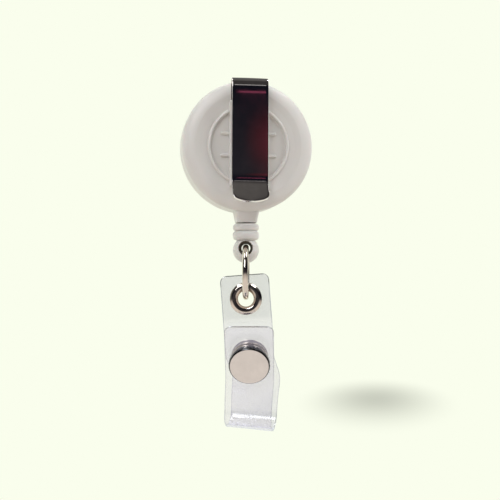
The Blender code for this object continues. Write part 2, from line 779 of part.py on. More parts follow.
def main():
    clear_scene()
    shell = make_material("shell_plastic", (0.62, 0.60, 0.56), 0.42)
    inner = make_material("spool_plastic", (0.75, 0.75, 0.73), 0.5)
    clip_steel = make_material("clip_steel", (0.55, 0.52, 0.50), 0.15, metallic=1.0)
    spring_steel = make_material("spring_steel", (0.42, 0.43, 0.45), 0.3, metallic=1.0)
    nickel = make_material("nickel", (0.66, 0.62, 0.57), 0.12, metallic=1.0)
    satin = make_material("satin_nickel", (0.68, 0.64, 0.58), 0.35, metallic=1.0)
    cord = make_material("cord_nylon", (0.75, 0.74, 0.70), 0.7)
    vinyl = make_material("clear_vinyl", (0.85, 0.87, 0.88), 0.08, alpha=0.3)

    # The case's frame has its X across, its Y up and its Z towards the clip.
    case = add_empty("case_centre", location=(0, CASE_CENTRE_Y, CASE_CENTRE_Z), rotation=(math.pi / 2, 0, 0))
    back_shell = make_back_shell(shell, case)
    add_neck(back_shell)
    parted(back_shell, 1)
    add_back_details(back_shell)
    front_shell = make_front_shell(shell, case)
    add_neck(front_shell)
    parted(front_shell, -1)
    make_spool(inner, case)
    make_spring_cover(spring_steel, case)
    make_power_spring(spring_steel, case)
    make_cord_windings(cord, case)
    make_cord_run(cord, case)

    clip_axis = add_empty("clip_axis", location=(0, 0, -BEND_INSIDE))
    make_clip(clip_steel, clip_axis)

    swivel = add_empty(
        "swivel_axis",
        location=(0, CASE_CENTRE_Y, CASE_CENTRE_Z + Z_FITTING),
        rotation=(0, 0, LOWER_TURN),
    )
    make_cord_knot(cord, swivel)
    make_end_fitting(shell, swivel)
    ring_axis = add_empty("ring_axis", swivel, (0, 0, Z_HOLE - Z_FITTING))
    ring = wire_loop(RING_RADIUS, WIRE_RADIUS, 40, 10)
    add_mesh("steel_ring", ring, nickel, ring_axis, (0, 0, Z_RING - Z_HOLE))

    # The strap's frame hangs from the ring's centre, but its own zero height stays at the case's centre.
    strap_axis = add_empty("strap_axis", ring_axis, (0, 0, Z_RING - Z_HOLE))
    strap_frame = add_empty("strap_frame", strap_axis, (0, 0, -Z_RING))
    leg_path, flap_path, (snap_y, snap_z) = strap_paths()
    leg = strip(leg_path, strap_widths(leg_path), VINYL, hung_leg)
    strap = add_mesh("strap", leg, vinyl, strap_frame)
    punch(strap, "eyelet_cutter", BARREL_RADIUS + TIGHT_FIT, (0, 0, Z_EYELET), 0, strap_frame)
    snap = Vector((lean_at(snap_z)[0], snap_y, snap_z))
    to_leg = Vector((0, math.cos(SNAP_TILT), math.sin(SNAP_TILT))) * LAYER_GAP / 2
    punch(strap, "post_cutter", POST_BARREL + FIT, snap + to_leg, SNAP_TILT, strap_frame)
    make_eyelet(nickel, strap_frame)
    snap_turn = (math.pi / 2 + SNAP_TILT, 0, 0)
    make_snap_back(nickel, add_empty("snap_back", strap_frame, snap, snap_turn))

    fold_foot = Vector(hung_leg((0, LOOP_CENTRE_Y, Z_LOOP - LOOP_RADIUS - VINYL / 2)))
    flap_axis = add_empty("flap_axis", strap_frame, fold_foot)
    flap_frame = add_empty("flap_frame", flap_axis, -fold_foot)
    flap_sheet = strip(flap_path, strap_widths(flap_path), VINYL, flap_hung_from(snap_z))
    flap = add_mesh("strap_flap", flap_sheet, vinyl, flap_frame)
    punch(flap, "cap_cutter", CAP_BARREL + FIT, snap - to_leg, SNAP_TILT, flap_frame)
    make_snap_front(satin, nickel, add_empty("snap_front", flap_frame, snap, snap_turn))


main()
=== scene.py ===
"""The looks of the retractable badge reel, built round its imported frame.

Fine meshes replace the plain CAD solids piece by piece, each in the same place. The pieces' own lengths
are in millimetres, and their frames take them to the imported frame's metres. Three frames come from the
packed joints: the case's has X across, Y up and Z towards the clip. The strap's is turned with the fitting,
and counts its heights from the case's centre. The ring's has its zero at the ring's middle.
"""

import json
from math import cos, degrees, pi, radians, sin, tan

import bmesh
import bpy
from mathutils import Matrix, Vector


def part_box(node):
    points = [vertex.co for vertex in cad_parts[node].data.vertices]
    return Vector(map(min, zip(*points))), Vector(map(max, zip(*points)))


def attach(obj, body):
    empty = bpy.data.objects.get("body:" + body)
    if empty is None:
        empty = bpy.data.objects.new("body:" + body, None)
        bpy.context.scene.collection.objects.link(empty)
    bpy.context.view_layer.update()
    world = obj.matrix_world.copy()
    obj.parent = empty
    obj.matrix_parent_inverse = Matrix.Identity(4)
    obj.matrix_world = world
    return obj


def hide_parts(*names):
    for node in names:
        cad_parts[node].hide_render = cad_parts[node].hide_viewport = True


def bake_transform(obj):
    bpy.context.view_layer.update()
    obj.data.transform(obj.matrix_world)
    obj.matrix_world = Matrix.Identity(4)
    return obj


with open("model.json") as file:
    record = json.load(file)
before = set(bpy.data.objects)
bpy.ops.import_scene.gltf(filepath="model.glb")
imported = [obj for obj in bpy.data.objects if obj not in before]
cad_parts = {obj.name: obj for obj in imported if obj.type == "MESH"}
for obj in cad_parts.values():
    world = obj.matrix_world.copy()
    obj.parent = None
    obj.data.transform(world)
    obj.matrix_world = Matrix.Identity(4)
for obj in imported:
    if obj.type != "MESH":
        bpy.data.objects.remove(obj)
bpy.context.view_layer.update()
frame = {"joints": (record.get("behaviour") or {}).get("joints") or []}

MM = 0.001
JOINTS = {joint["name"]: joint for joint in frame["joints"]}


def joint_place(name):
    return Vector(JOINTS[name]["pos_m"])


def framed(x_axis, y_axis, origin):
    """A frame in millimetres, from its X and Y axes and its origin."""
    z_axis = x_axis.cross(y_axis)
    turn = Matrix((x_axis, y_axis, z_axis)).transposed().to_4x4()
    return Matrix.Translation(origin) @ turn @ Matrix.Scale(MM, 4)


def facing_frame(z):
    """A frame at a height on the strap's axis, whose Z points at the viewer."""
    return STRAP @ Matrix.Translation((0, 0, z)) @ Matrix.Rotation(pi / 2, 4, "X")


CENTRE = joint_place("spool_spin") / MM
ACROSS = Vector(JOINTS["strap_swing"]["axis"])
BACKWARDS = Vector(JOINTS["ring_swing"]["axis"])
CASE = framed(Vector((1, 0, 0)), Vector((0, 0, 1)), CENTRE * MM)
STRAP = framed(ACROSS, BACKWARDS, CENTRE * MM)
RING = framed(ACROSS, BACKWARDS, joint_place("strap_swing"))
SHARED = Matrix.Scale(MM, 4)

# Sizes that the pieces share, in millimetres like those of each piece
FIT = 0.15
TIGHT_FIT = 0.10
ROUND = 144
SMALL_ROUND = 96
SHARP = 32

# Case
CASE_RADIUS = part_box("back_shell")[1].x / MM
RIM_HEIGHT = 2.6
RIM_INSIDE = 1.2
FRONT_EDGE = 1.5
CREST_RADIUS = 12.8
CREST_HEIGHT = 4.6
BEAD_RADIUS = 9.52
BEAD_HALF = 0.38
BEAD_HEIGHT = 4.75
FLOOR_HEIGHT = 3.9
INSIDE_RADIUS = 14.6
BACK_INSIDE = 2.8
FRONT_FACE = 4.7
FRONT_INSIDE = 3.1
LABEL_RADIUS = 13.2
LABEL_DEPTH = 0.4
RIB_LENGTH = 13.6
RIB_HALF = 0.42
RIB_OFFSET = 2.65
RIB_RISE = 0.25
RIB_HEIGHT = 4.5
HOLDER_HALF = 4.7
HOLDER_TOP = 10.6
HOLDER_BOTTOM = -10.0
HOLDER_HEIGHT = 6.3
SLOT_LOW = 4.6
SLOT_BOTTOM = -6.0
POST_RADIUS = 2.0
SLIT_HALF = 0.3
NECK_TOP_HALF = 3.1
NECK_HALF = 2.5
NECK_CORNER = 0.8
Z_NECK_TOP = -15.0
Z_NECK = -18.5
MOUTH_RADIUS = 0.9

# Belt clip
STRIP = 0.60
BEND_INSIDE = 0.90
BEND_MIDDLE = BEND_INSIDE + STRIP / 2
BEND_LENGTH = 2.4
CLIP_HALF = 4.4
TAIL_HALF = 3.5
TAIL_BOTTOM = -5.0
KNEE = 0.8
CREASE_HEIGHT = -8.9
CREASE_REACH = (2.0, 0.45)
LIP_LENGTH = 5.9
LIP_ANGLE = radians(28)
LIP_ROUND = 2.2

# Power spring
SPRING_STRIP = 0.25
SPRING_TURNS = 7
SPRING_START = 2.75
SPRING_END = 9.9
SPRING_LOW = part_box("power_spring")[0].y / MM
SPRING_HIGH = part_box("power_spring")[1].y / MM
TANG_START = 0.8
TANG_END = 2.45

# Cord, spool and end fitting
CORD_RADIUS = 0.4
WOUND_RADIUS = 0.36
WOUND_PITCH = 0.72
LAYER_RADII = (12.02, 12.72)
LAYER_TURNS = 4
Z_FITTING = -18.75
Z_BALL = -25.15
BALL_RADIUS = 3.2
Z_HOLE = -24.75
HOLE_RADIUS = 1.55
HOLE_WAIST = 1.1
# Within this distance of the ring's hole axis the fitting is painted near-black: painted shade inside the
# hole
HOLE_SHADE_RADIUS = 1.75
Z_KNOT = -20.9
KNOT_RADIUS = 1.0
RING_RADIUS = 6.1
WIRE_RADIUS = 0.75

# Strap, eyelet and snap
VINYL = 0.5
STRAP_HALF = 6.0
STRAP_CORNER = 1.6
CORNER_ANGLE = 10
SHEET_COLUMNS = 16
Z_STRAP_TOP = -31.2
Z_EYELET = -37.05
Z_BEND = -41.3
BEND_RADIUS = 12.0
SNAP_TILT = radians(27)
SNAP_ZONE = 10.4
LAYER_GAP = 3.2
FLAP_TIP = 10.2
LOOP_RADIUS = 3.6
LOOP_CENTRE_Y = 8.9
Z_LOOP = -66.0
TOP_LEAN = 0.075
LOOP_LEAN = -0.05
LOOP_TWIST = radians(-11)
Z_TWIST = -56.0
TWIST_CENTRE_Y = 7.0
LEG_DRIFT = 1.5
Z_DRIFT = (-50.5, -57.0, -66.0)
EYELET_RADIUS = 3.95
EYELET_HOLE = 1.9
BARREL_RADIUS = 2.3
CAP_RADIUS = 5.05
CAP_FACE = 3.35
CAP_BARREL = 1.6
SOCKET_RADIUS = 4.65
STUD_FLANGE = 4.45
STUD_RADIUS = 1.55
POST_BARREL = 0.85
REAR_FLANGE = 4.5

# Camera and backdrop, in metres
CAMERA_AZIMUTH = radians(-8.5)
CAMERA_DISTANCE = 240 * MM
CAMERA_HEIGHT = -51.45 * MM
LOOKED_AT = Vector((0.97, 6.0, -40.59)) * MM
FOCAL_LENGTH = 70.6
PALE = (0.956, 0.991, 0.847)
BACKDROP_RADIUS = 2.4
STAGE_FLOOR_Z = -0.78
STAGE_FLOOR_HALF = 2.2
SHADOW_CENTRE = Vector((56.0, 89.0, -86.5)) * MM
SHADOW_SIZE = Vector((28.0, 88.0, 1000.0)) * MM
SHADOW_TURN = radians(-16.2)
SHADOW_DARKEST = 0.62
# The colours that metal mirrors, by the elevation in degrees that they come from
ROOM = [
    (-90, (0.90, 0.83, 0.76)),
    (-26, (0.88, 0.80, 0.72)),
    (-10, (0.52, 0.47, 0.43)),
    (-4, (0.12, 0.11, 0.11)),
    (-1, (0.03, 0.029, 0.033)),
    (9, (0.006, 0.006, 0.011)),
    (24, (0.008, 0.008, 0.012)),
    (31, (0.043, 0.040, 0.039)),
    (57, (0.046, 0.043, 0.042)),
    (61, (0.10, 0.095, 0.088)),
    (90, (0.14, 0.14, 0.14)),
]
# The red glow, in the same way, and the degrees to the right where it comes in and goes out
GLOW = [
    (-90, (0, 0, 0)),
    (0, (0.004, 0.002, 0.003)),
    (2.5, (0.028, 0.008, 0.011)),
    (3.5, (0.035, 0.009, 0.012)),
    (4.4, (0.070, 0.016, 0.023)),
    (5.2, (0.11, 0.023, 0.034)),
    (6.2, (0.06, 0.014, 0.020)),
    (7.2, (0.014, 0.005, 0.007)),
    (8, (0, 0, 0)),
    (90, (0, 0, 0)),
]
GLOW_IN = (6.2, 12)
GLOW_OUT = (22, 40)
# The elevations between which the pale wall behind the object goes over to the room
PALE_OUT = (50, 66)
WHITE, WARM, RED = (0.98, 0.99, 1), (1, 0.99, 0.97), (1, 0.2, 0.36)
# Area lights: name, place, the height aimed at, size, power and colour. Metal mirrors these.
MIRRORED_LIGHTS = [
    ("left_top", (-0.30, -0.08, 0.55), -0.04, (0.20, 0.22), 0.8, WARM),
    ("right_top", (0.32, -0.08, 0.52), -0.04, (0.20, 0.22), 0.9, WARM),
    ("left_front", (-0.28, -0.45, 0.33), -0.04, (0.26, 0.33), 1.4, WHITE),
    ("back_top", (-0.10, 0.36, 0.50), -0.04, (0.16, 0.12), 0.25, WHITE),
    ("thin_strip", (0.105, -0.705, 0.363), 0, (0.17, 0.05), 0.012, WARM),
    ("red_strip", (0.130, -0.778, 0.128), 0, (0.10, 0.013), 0.0012, RED),
]
# These light only plastic and vinyl
SOFT_LIGHTS = [
    ("overhead", (0.16, -0.42, 0.55), -0.04, (0.6, 0.4), 1.45, WHITE),
    ("left_side", (-0.55, -0.16, 0.08), -0.04, (0.45, 0.5), 0.9, WHITE),
    ("right_side", (0.55, -0.16, 0.12), -0.04, (0.45, 0.5), 2.1, WHITE),
]


# Materials


def principled(name, colour, **sockets):
    """A new material and its shader. Constant values are set on the shader's own sockets."""
    material = bpy.data.materials.new(name)
    material.use_nodes = True
    shader = material.node_tree.nodes["Principled BSDF"]
    shader.inputs["Base Color"].default_value = (*colour, 1)
    for socket, value in sockets.items():
        shader.inputs[socket.replace("_", " ")].default_value = value
    return material, shader


def plug(shader, **outputs):
    """Links node outputs to the shader's sockets by name."""
    for socket, output in outputs.items():
        shader.id_data.links.new(output, shader.inputs[socket.replace("_", " ")])


def bare_material(name):
    """A new material with nothing but an output, its node tree, and the output's surface socket."""
    material = bpy.data.materials.new(name)
    material.use_nodes = True
    tree = material.node_tree
    tree.nodes.clear()
    return material, tree, add_node(tree, "OutputMaterial").inputs["Surface"]


def add_node(tree, kind, links=(), **settings):
    """A shader node with its settings, and its input sockets linked or set by name."""
    node = tree.nodes.new("ShaderNode" + kind)
    for name, value in settings.items():
        setattr(node, name, value)
    for socket, value in dict(links).items():
        if isinstance(value, bpy.types.NodeSocket):
            tree.links.new(value, node.inputs[socket])
        else:
            node.inputs[socket].default_value = value
    return node


def noise(tree, scale, detail=3.0, stretch=(1, 1, 1), roughness=0.5):
    """Noise in the piece's own coordinates, at so many cells a metre, stretched along its axes."""
    place = add_node(tree, "TexCoord").outputs["Object"]
    mapped = add_node(tree, "Mapping", {"Vector": place, "Scale": stretch})
    values = {"Vector": mapped.outputs["Vector"], "Scale": scale, "Detail": detail, "Roughness": roughness}
    return add_node(tree, "TexNoise", values).outputs["Fac"]


def ranged(tree, value, low, high, start=0.3, stop=0.7, kind="LINEAR"):
    """value from start to stop, taken to low to high."""
    links = {"Value": value, "From Min": start, "From Max": stop, "To Min": low, "To Max": high}
    return add_node(tree, "MapRange", links, interpolation_type=kind).outputs["Result"]


def mixed(tree, share, first, second, blend="MIX"):
    links = {0: share, 6: first, 7: second}
    return add_node(tree, "Mix", links, data_type="RGBA", blend_type=blend).outputs[2]


def tinted(tree, value, dark, light):
    """A colour between two, by value."""
    return mixed(tree, value, (*dark, 1), (*light, 1))


def worked(tree, operation, *values):
    """The result of one sum on one or two values."""
    return add_node(tree, "Math", dict(enumerate(values)), operation=operation).outputs[0]


def bumped(tree, height, strength, distance, normal=None):
    links = {"Height": height, "Strength": strength, "Distance": distance}
    if normal:
        links["Normal"] = normal
    return add_node(tree, "Bump", links).outputs["Normal"]


def scaled(colour, factor):
    return tuple(c * factor for c in colour)


def moulded_plastic(name, colour, roughness):
    """Satin moulded plastic: a fine spark-eroded grain, faint flow marks, and small scuffs."""
    material, shader = principled(name, colour, IOR=1.5, Subsurface_Weight=0.06, Subsurface_Scale=0.4 * MM)
    tree = material.node_tree
    flow = noise(tree, 160, 2.0, (1, 1, 0.4))
    grain = noise(tree, 9000, 2.0)
    scuffs = noise(tree, 900, 6.0, (1, 1, 0.15), 0.7)
    tone = tinted(tree, ranged(tree, flow, 0, 1), scaled(colour, 0.965), scaled(colour, 1.02))
    gloss = ranged(tree, scuffs, roughness - 0.05, roughness + 0.12, 0.35, 0.75)
    fine = bumped(tree, grain, 0.22, 0.012 * MM)
    plug(shader, Base_Color=tone, Roughness=gloss, Normal=bumped(tree, flow, 0.12, 0.06 * MM, fine))
    return material


def plated(name, colour, roughness, smear, stretch, grain):
    """Plated metal: rolling or polishing lines along one way, and soft smears of handling."""
    material, shader = principled(name, colour, Metallic=1.0)
    tree = material.node_tree
    lines = noise(tree, 2500, 3.0, stretch, 0.65)
    smears = noise(tree, 420, 4.0, roughness=0.6)
    tone = tinted(tree, ranged(tree, smears, 0, 1), scaled(colour, 0.93), scaled(colour, 1.04))
    gloss = ranged(tree, smears, roughness, roughness + smear)
    plug(shader, Base_Color=tone, Roughness=gloss, Normal=bumped(tree, lines, grain, 0.004 * MM))
    return material


def clear_vinyl(name, haze, straight, slanted):
    """Clear soft vinyl. Seen straight on it is nearly clear, and it shows more of its haze at a slant. The
    high IOR gives back the gloss that a low alpha takes away."""
    material, shader = principled(name, haze, Roughness=0.1, IOR=3.4, Specular_IOR_Level=0.88)
    shader.inputs["Specular Tint"].default_value = (0.93, 0.95, 1, 1)
    tree = material.node_tree
    facing = add_node(tree, "LayerWeight", {"Blend": 0.3}).outputs["Facing"]
    hiding = ranged(tree, facing, straight, slanted, 0.2, 0.95)
    gloss = ranged(tree, noise(tree, 1300, 4.0), 0.05, 0.16)
    plug(shader, Alpha=hiding, Roughness=gloss, Normal=bumped(tree, noise(tree, 240), 0.2, 0.06 * MM))
    return material


def braided_cord(name, colour):
    """Braided nylon: two sets of strands crossing on the slant, raised, with painted shade darkening the
    grooves between them.
    """
    material, shader = principled(name, colour, Sheen_Weight=0.3, Roughness=0.62)
    tree = material.node_tree
    place = add_node(tree, "TexCoord").outputs["Object"]
    heights = []
    for turn in (0.6, -0.6):
        mapped = add_node(tree, "Mapping", {"Vector": place, "Rotation": (turn, turn, 0)})
        settings = {"Vector": mapped.outputs["Vector"], "Scale": 1900.0, "Distortion": 0.3}
        heights.append(add_node(tree, "TexWave", settings, bands_direction="Z").outputs["Fac"])
    top = worked(tree, "MAXIMUM", *heights)
    # Painted shade: the colour falls to 70% in the grooves between the strands
    tone = tinted(tree, top, scaled(colour, 0.7), colour)
    plug(shader, Base_Color=tone, Normal=bumped(tree, top, 0.6, 0.08 * MM))
    return material


def glowing(name, colour):
    """A plain pale surface of one even brightness, for the backdrop and the floor."""
    material, tree, surface = bare_material(name)
    shine = add_node(tree, "Emission", {"Color": (*colour, 1), "Strength": 1.0})
    tree.links.new(shine.outputs["Emission"], surface)
    return material


# Mesh work


def arc(centre, radius, start, end, steps):
    """Points on a circle, both ends included. Angles are in degrees."""
    angles = [radians(start + (end - start) * i / steps) for i in range(steps + 1)]
    return [(centre[0] + radius * cos(a), centre[1] + radius * sin(a)) for a in angles]


def filleted(corners, closed=False, steps=5):
    """A line through (x, y, radius) corners, each one rounded to its radius as far as its sides allow."""
    count = len(corners)
    points = []
    for i, (x, y, radius) in enumerate(corners):
        here = Vector((x, y))
        if radius == 0 or (not closed and i in (0, count - 1)):
            points.append((x, y))
            continue
        before = Vector(corners[i - 1][:2]) - here
        after = Vector(corners[(i + 1) % count][:2]) - here
        half = before.angle(after) / 2
        reach = min(radius / tan(half), 0.49 * before.length, 0.49 * after.length)
        start, end = here + before.normalized() * reach, here + after.normalized() * reach
        for k in range(steps + 1):
            t = k / steps
            points.append(tuple(start * (1 - t) ** 2 + here * (2 * t * (1 - t)) + end * t**2))
    return points


def turned(profile, segments, closed=False):
    """A solid turned about Z from (radius, height) points. Unless it is closed, the profile ends on Z."""
    bm = bmesh.new()
    rings = []
    for radius, height in profile:
        on_axis = radius < 1e-8
        angles = [2 * pi * i / segments for i in range(1 if on_axis else segments)]
        rings.append([bm.verts.new((radius * cos(a), radius * sin(a), height)) for a in angles])
    pairs = list(zip(rings, rings[1:]))
    if closed:
        pairs.append((rings[-1], rings[0]))
    for a, b in pairs:
        for i in range(segments):
            j = (i + 1) % segments
            corners = [a[i % len(a)], a[j % len(a)], b[j % len(b)], b[i % len(b)]]
            bm.faces.new(list(dict.fromkeys(corners)))
    return bm


def lofted(sections, ring=False):
    """A solid through sections with equal numbers of points. With ring, the last joins the first."""
    bm = bmesh.new()
    loops = [[bm.verts.new(point) for point in section] for section in sections]
    count = len(loops[0])
    for a, b in zip(loops, loops[1:] + loops[:1] if ring else loops[1:]):
        for i in range(count):
            j = (i + 1) % count
            bm.faces.new((a[i], a[j], b[j], b[i]))
    if not ring:
        bm.faces.new(loops[0])
        bm.faces.new(list(reversed(loops[-1])))
    return bm


def rounded_box(low, high, edge, steps=3):
    """A box from its lowest to its highest corner, with its edges rounded."""
    corners = [(low[0], low[1]), (high[0], low[1]), (high[0], high[1]), (low[0], high[1])]
    bm = lofted([[(x, y, z) for x, y in corners] for z in (low[2], high[2])])
    if edge:
        bmesh.ops.bevel(bm, geom=bm.edges[:], offset=edge, segments=steps, profile=0.5, affect="EDGES")
    return bm


def direction(path, i):
    """The way a path runs at its i-th point."""
    ahead, behind = Vector(path[min(i + 1, len(path) - 1)]), Vector(path[max(i - 1, 0)])
    return (ahead - behind).normalized()


def tube(path, radius, sides=16):
    """A round tube along 3-D points, with its section carried from point to point."""
    sections = []
    side = Vector((0, 1, 0))
    for i, point in enumerate(path):
        along = direction(path, i)
        side = (side - along * side.dot(along)).normalized()
        other = along.cross(side)
        section = []
        for k in range(sides):
            angle = 2 * pi * k / sides
            section.append(Vector(point) + (side * cos(angle) + other * sin(angle)) * radius)
        sections.append(section)
    return lofted(sections)


def linked(name, data):
    """A new object in the scene with the given data."""
    obj = bpy.data.objects.new(name, data)
    bpy.context.scene.collection.objects.link(obj)
    return obj


def smoothed(mesh, sharp=SHARP):
    """Smooth shading, except at edges that turn by more than the sharp angle."""
    mesh.shade_smooth()
    mesh.set_sharp_from_angle(angle=radians(sharp))


def made(name, bm, material, place=None, sharp=SHARP):
    """A piece in the shared frame, with its faces turned outwards."""
    bmesh.ops.recalc_face_normals(bm, faces=bm.faces)
    if place is not None:
        bm.transform(place)
    mesh = bpy.data.meshes.new(name)
    bm.to_mesh(mesh)
    bm.free()
    smoothed(mesh, sharp)
    if material:
        mesh.materials.append(material)
    return linked(name, mesh)


def combined(target, tool, operation):
    """Joins tool to target or cuts it out, at once, and removes the tool."""
    modifier = target.modifiers.new("combine", "BOOLEAN")
    modifier.operation = operation
    modifier.solver = "EXACT"
    modifier.object = tool
    graph = bpy.context.evaluated_depsgraph_get()
    mesh = bpy.data.meshes.new_from_object(target.evaluated_get(graph))
    target.modifiers.clear()
    target.data = mesh
    bpy.data.objects.remove(tool, do_unlink=True)
    smoothed(mesh)


def join(target, bm, place):
    combined(target, made("added", bm, None, place), "UNION")


def cut(target, bm, place):
    combined(target, made("cutter", bm, None, place), "DIFFERENCE")


def evened(obj):
    """Shades a cut piece by its large faces, so that its flats stay flat."""
    modifier = obj.modifiers.new("even", "WEIGHTED_NORMAL")
    modifier.keep_sharp = True
    return obj


def fitted(obj, body, slot, *nodes):
    """The piece rides on its body and stands for its CAD nodes, which it hides. The slot is not used."""
    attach(obj, body)
    if nodes:
        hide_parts(*nodes)


# Case


def neck_section(half, height):
    """A square with round corners at a height, in the neck's own frame."""
    points = []
    for quarter, (across, up) in enumerate([(1, 1), (-1, 1), (-1, -1), (1, -1)]):
        centre = (across * (half - NECK_CORNER), up * (half - NECK_CORNER))
        points += [(x, y, height) for x, y in arc(centre, NECK_CORNER, 90 * quarter, 90 * quarter + 90, 6)]
    return points


def add_neck(shell, side):
    """One half of the neck joined to its shell, and the funnel that the cord leaves by."""
    edge, bevel = 0.2, 0.06
    foot = [(NECK_HALF - edge, Z_NECK), (NECK_HALF - bevel, Z_NECK + bevel), (NECK_HALF, Z_NECK + edge)]
    sections = [neck_section(half, height) for half, height in [*foot, (NECK_TOP_HALF, Z_NECK_TOP)]]
    upright = CASE @ Matrix.Rotation(-pi / 2, 4, "X")
    neck = made("neck", lofted(sections), None, upright)
    reach = 30
    near = side * FIT / 2
    low, high = sorted((near, near - side * reach))
    cut(neck, rounded_box((-reach, -reach, low), (reach, reach, high), 0), CASE)
    combined(shell, neck, "UNION")
    funnel = [
        (0, Z_NECK - 0.5, 0),
        (MOUTH_RADIUS + 0.2, Z_NECK - 0.5, 0),
        (MOUTH_RADIUS + 0.15, Z_NECK, 0),
        (MOUTH_RADIUS, Z_NECK + 0.3, 0.2),
        (MOUTH_RADIUS, -16.8, 0.5),
        (2.6, -14.1, 0),
        (0, -13.4, 0),
    ]
    cut(shell, turned(filleted(funnel), 48), upright)


def seam_edge(side):
    """The rounded edge of a shell's rim, on one side of the seam."""
    steps = [(0.15, 0), (0.04, 0.05), (0, 0.18)]
    return [(CASE_RADIUS - inset, side * (FIT / 2 + rise)) for inset, rise in steps]


def back_outside():
    """The outline from the seam over the domed rim and down past the bead ring to the sunk floor."""
    squash = (CREST_HEIGHT - RIM_HEIGHT) / (CASE_RADIUS - CREST_RADIUS)
    crown = arc((CREST_RADIUS, 0), CASE_RADIUS - CREST_RADIUS, 0, 90, 18)
    crown = [(r, RIM_HEIGHT + h * squash) for r, h in crown]
    foot, middle = BEAD_RADIUS + BEAD_HALF, BEAD_HEIGHT - BEAD_HALF
    valley = [
        (CREST_RADIUS, CREST_HEIGHT, 0),
        (11.4, 4.32, 1.6),
        (foot, 4.12, 0.12),
        (foot, middle, 0),
    ]
    ring = arc((BEAD_RADIUS, middle), BEAD_HALF, 0, 180, 10)
    inner = BEAD_RADIUS - BEAD_HALF
    floor = [(inner, 4.3, 0), (inner, FLOOR_HEIGHT, 0.25), (8.0, FLOOR_HEIGHT, 0)]
    return [*seam_edge(1), *crown, *filleted(valley)[1:-1], *ring, *filleted(floor), (0, FLOOR_HEIGHT)]


def add_ribs_and_holder(shell):
    """The floor's two ribs, and the block over them with the slot that takes the clip's tail."""
    root = FLOOR_HEIGHT - 0.5
    for side in (1, -1):
        middle = side * RIB_OFFSET + RIB_RISE
        low = (-RIB_LENGTH / 2, middle - RIB_HALF, root)
        high = (RIB_LENGTH / 2, middle + RIB_HALF, RIB_HEIGHT)
        join(shell, rounded_box(low, high, 0.34, 5), CASE)
    low, high = (-HOLDER_HALF, HOLDER_BOTTOM, root), (HOLDER_HALF, HOLDER_TOP, HOLDER_HEIGHT)
    join(shell, rounded_box(low, high, 0.18), CASE)
    half, top = TAIL_HALF + FIT, HOLDER_TOP + 2
    cut(shell, rounded_box((-half, SLOT_BOTTOM, SLOT_LOW), (half, top, SLOT_LOW + STRIP + 2 * FIT), 0), CASE)


def add_post(shell):
    """The post that the spool turns on, with a slit for the power spring's tang."""
    foot, top = 0.2 - FRONT_INSIDE, BACK_INSIDE + 0.5
    profile = [(0, foot), (POST_RADIUS, foot), (POST_RADIUS, top), (0, top)]
    join(shell, turned(profile, 48), CASE)
    low, high = (-SLIT_HALF, -3, -3.5), (SLIT_HALF, -0.5, BACK_INSIDE - 0.4)
    cut(shell, rounded_box(low, high, 0), CASE)


def make_back_shell(plastic):
    """The clip side: a domed rim, a bead ring round a sunk floor, two ribs and the clip's holder."""
    inside = [
        (0, BACK_INSIDE),
        (9.0, BACK_INSIDE),
        (12.4, 3.3),
        (14.0, 2.4),
        (INSIDE_RADIUS, RIM_INSIDE),
        (INSIDE_RADIUS, FIT / 2),
    ]
    shell = made("case_back", turned([*inside, *back_outside()], ROUND), plastic, CASE)
    add_ribs_and_holder(shell)
    add_post(shell)
    add_neck(shell, 1)
    fitted(evened(shell), "case", "case_plastic", "back_shell")


def make_front_shell(plastic):
    """The label side: a rounded rim round a sunk face for a label."""
    edge = arc((CASE_RADIUS - FRONT_EDGE, FRONT_EDGE - FRONT_FACE), FRONT_EDGE, 0, -90, 14)
    face = LABEL_DEPTH - FRONT_FACE
    step = [
        (CASE_RADIUS - FRONT_EDGE, -FRONT_FACE, 0),
        (LABEL_RADIUS, -FRONT_FACE, 0.12),
        (LABEL_RADIUS, face, 0.1),
        (8.0, face, 0),
    ]
    boss, bore, boss_top = 3.3, 2.25, 0.5 - FRONT_INSIDE
    profile = [
        (0, -FRONT_INSIDE),
        (bore, -FRONT_INSIDE),
        (bore, boss_top),
        (boss, boss_top),
        (boss, -FRONT_INSIDE),
        (13.6, -FRONT_INSIDE),
        (INSIDE_RADIUS, -2.1),
        (INSIDE_RADIUS, -FIT / 2),
        *seam_edge(-1),
        *edge,
        *filleted(step)[1:],
        (0, face),
    ]
    shell = made("case_front", turned(profile, ROUND), plastic, CASE)
    add_neck(shell, -1)
    fitted(evened(shell), "case", "case_plastic", "front_shell")


# Belt clip


def strip_section(y, z, normal, half, thickness, corner, columns, crown=0.0):
    """A flat strip's section round its middle point, with round edges and its middle raised by crown."""
    edge, face = half - corner, thickness / 2
    steps = [edge * (2 * i / columns - 1) for i in range(columns + 1)]
    outline = [(x, -face) for x in steps]
    outline += arc((edge, corner - face), corner, -90, 0, 3)[1:]
    outline += arc((edge, face - corner), corner, 0, 90, 3)
    outline += [(-x, face) for x in steps[1:]]
    outline += arc((-edge, face - corner), corner, 90, 180, 3)[1:]
    outline += arc((-edge, corner - face), corner, 180, 270, 3)[:-1]
    points = []
    for x, depth in outline:
        depth += crown * (1 - (x / half) ** 2)
        points.append((x, y + normal.x * depth, z + normal.y * depth))
    return points


def curved(start, corner, end, steps):
    """A quadratic curve from start to end, pulled towards the corner."""
    shares = [i / steps for i in range(steps + 1)]
    return [start * (1 - s) ** 2 + corner * (2 * s * (1 - s)) + end * s**2 for s in shares]


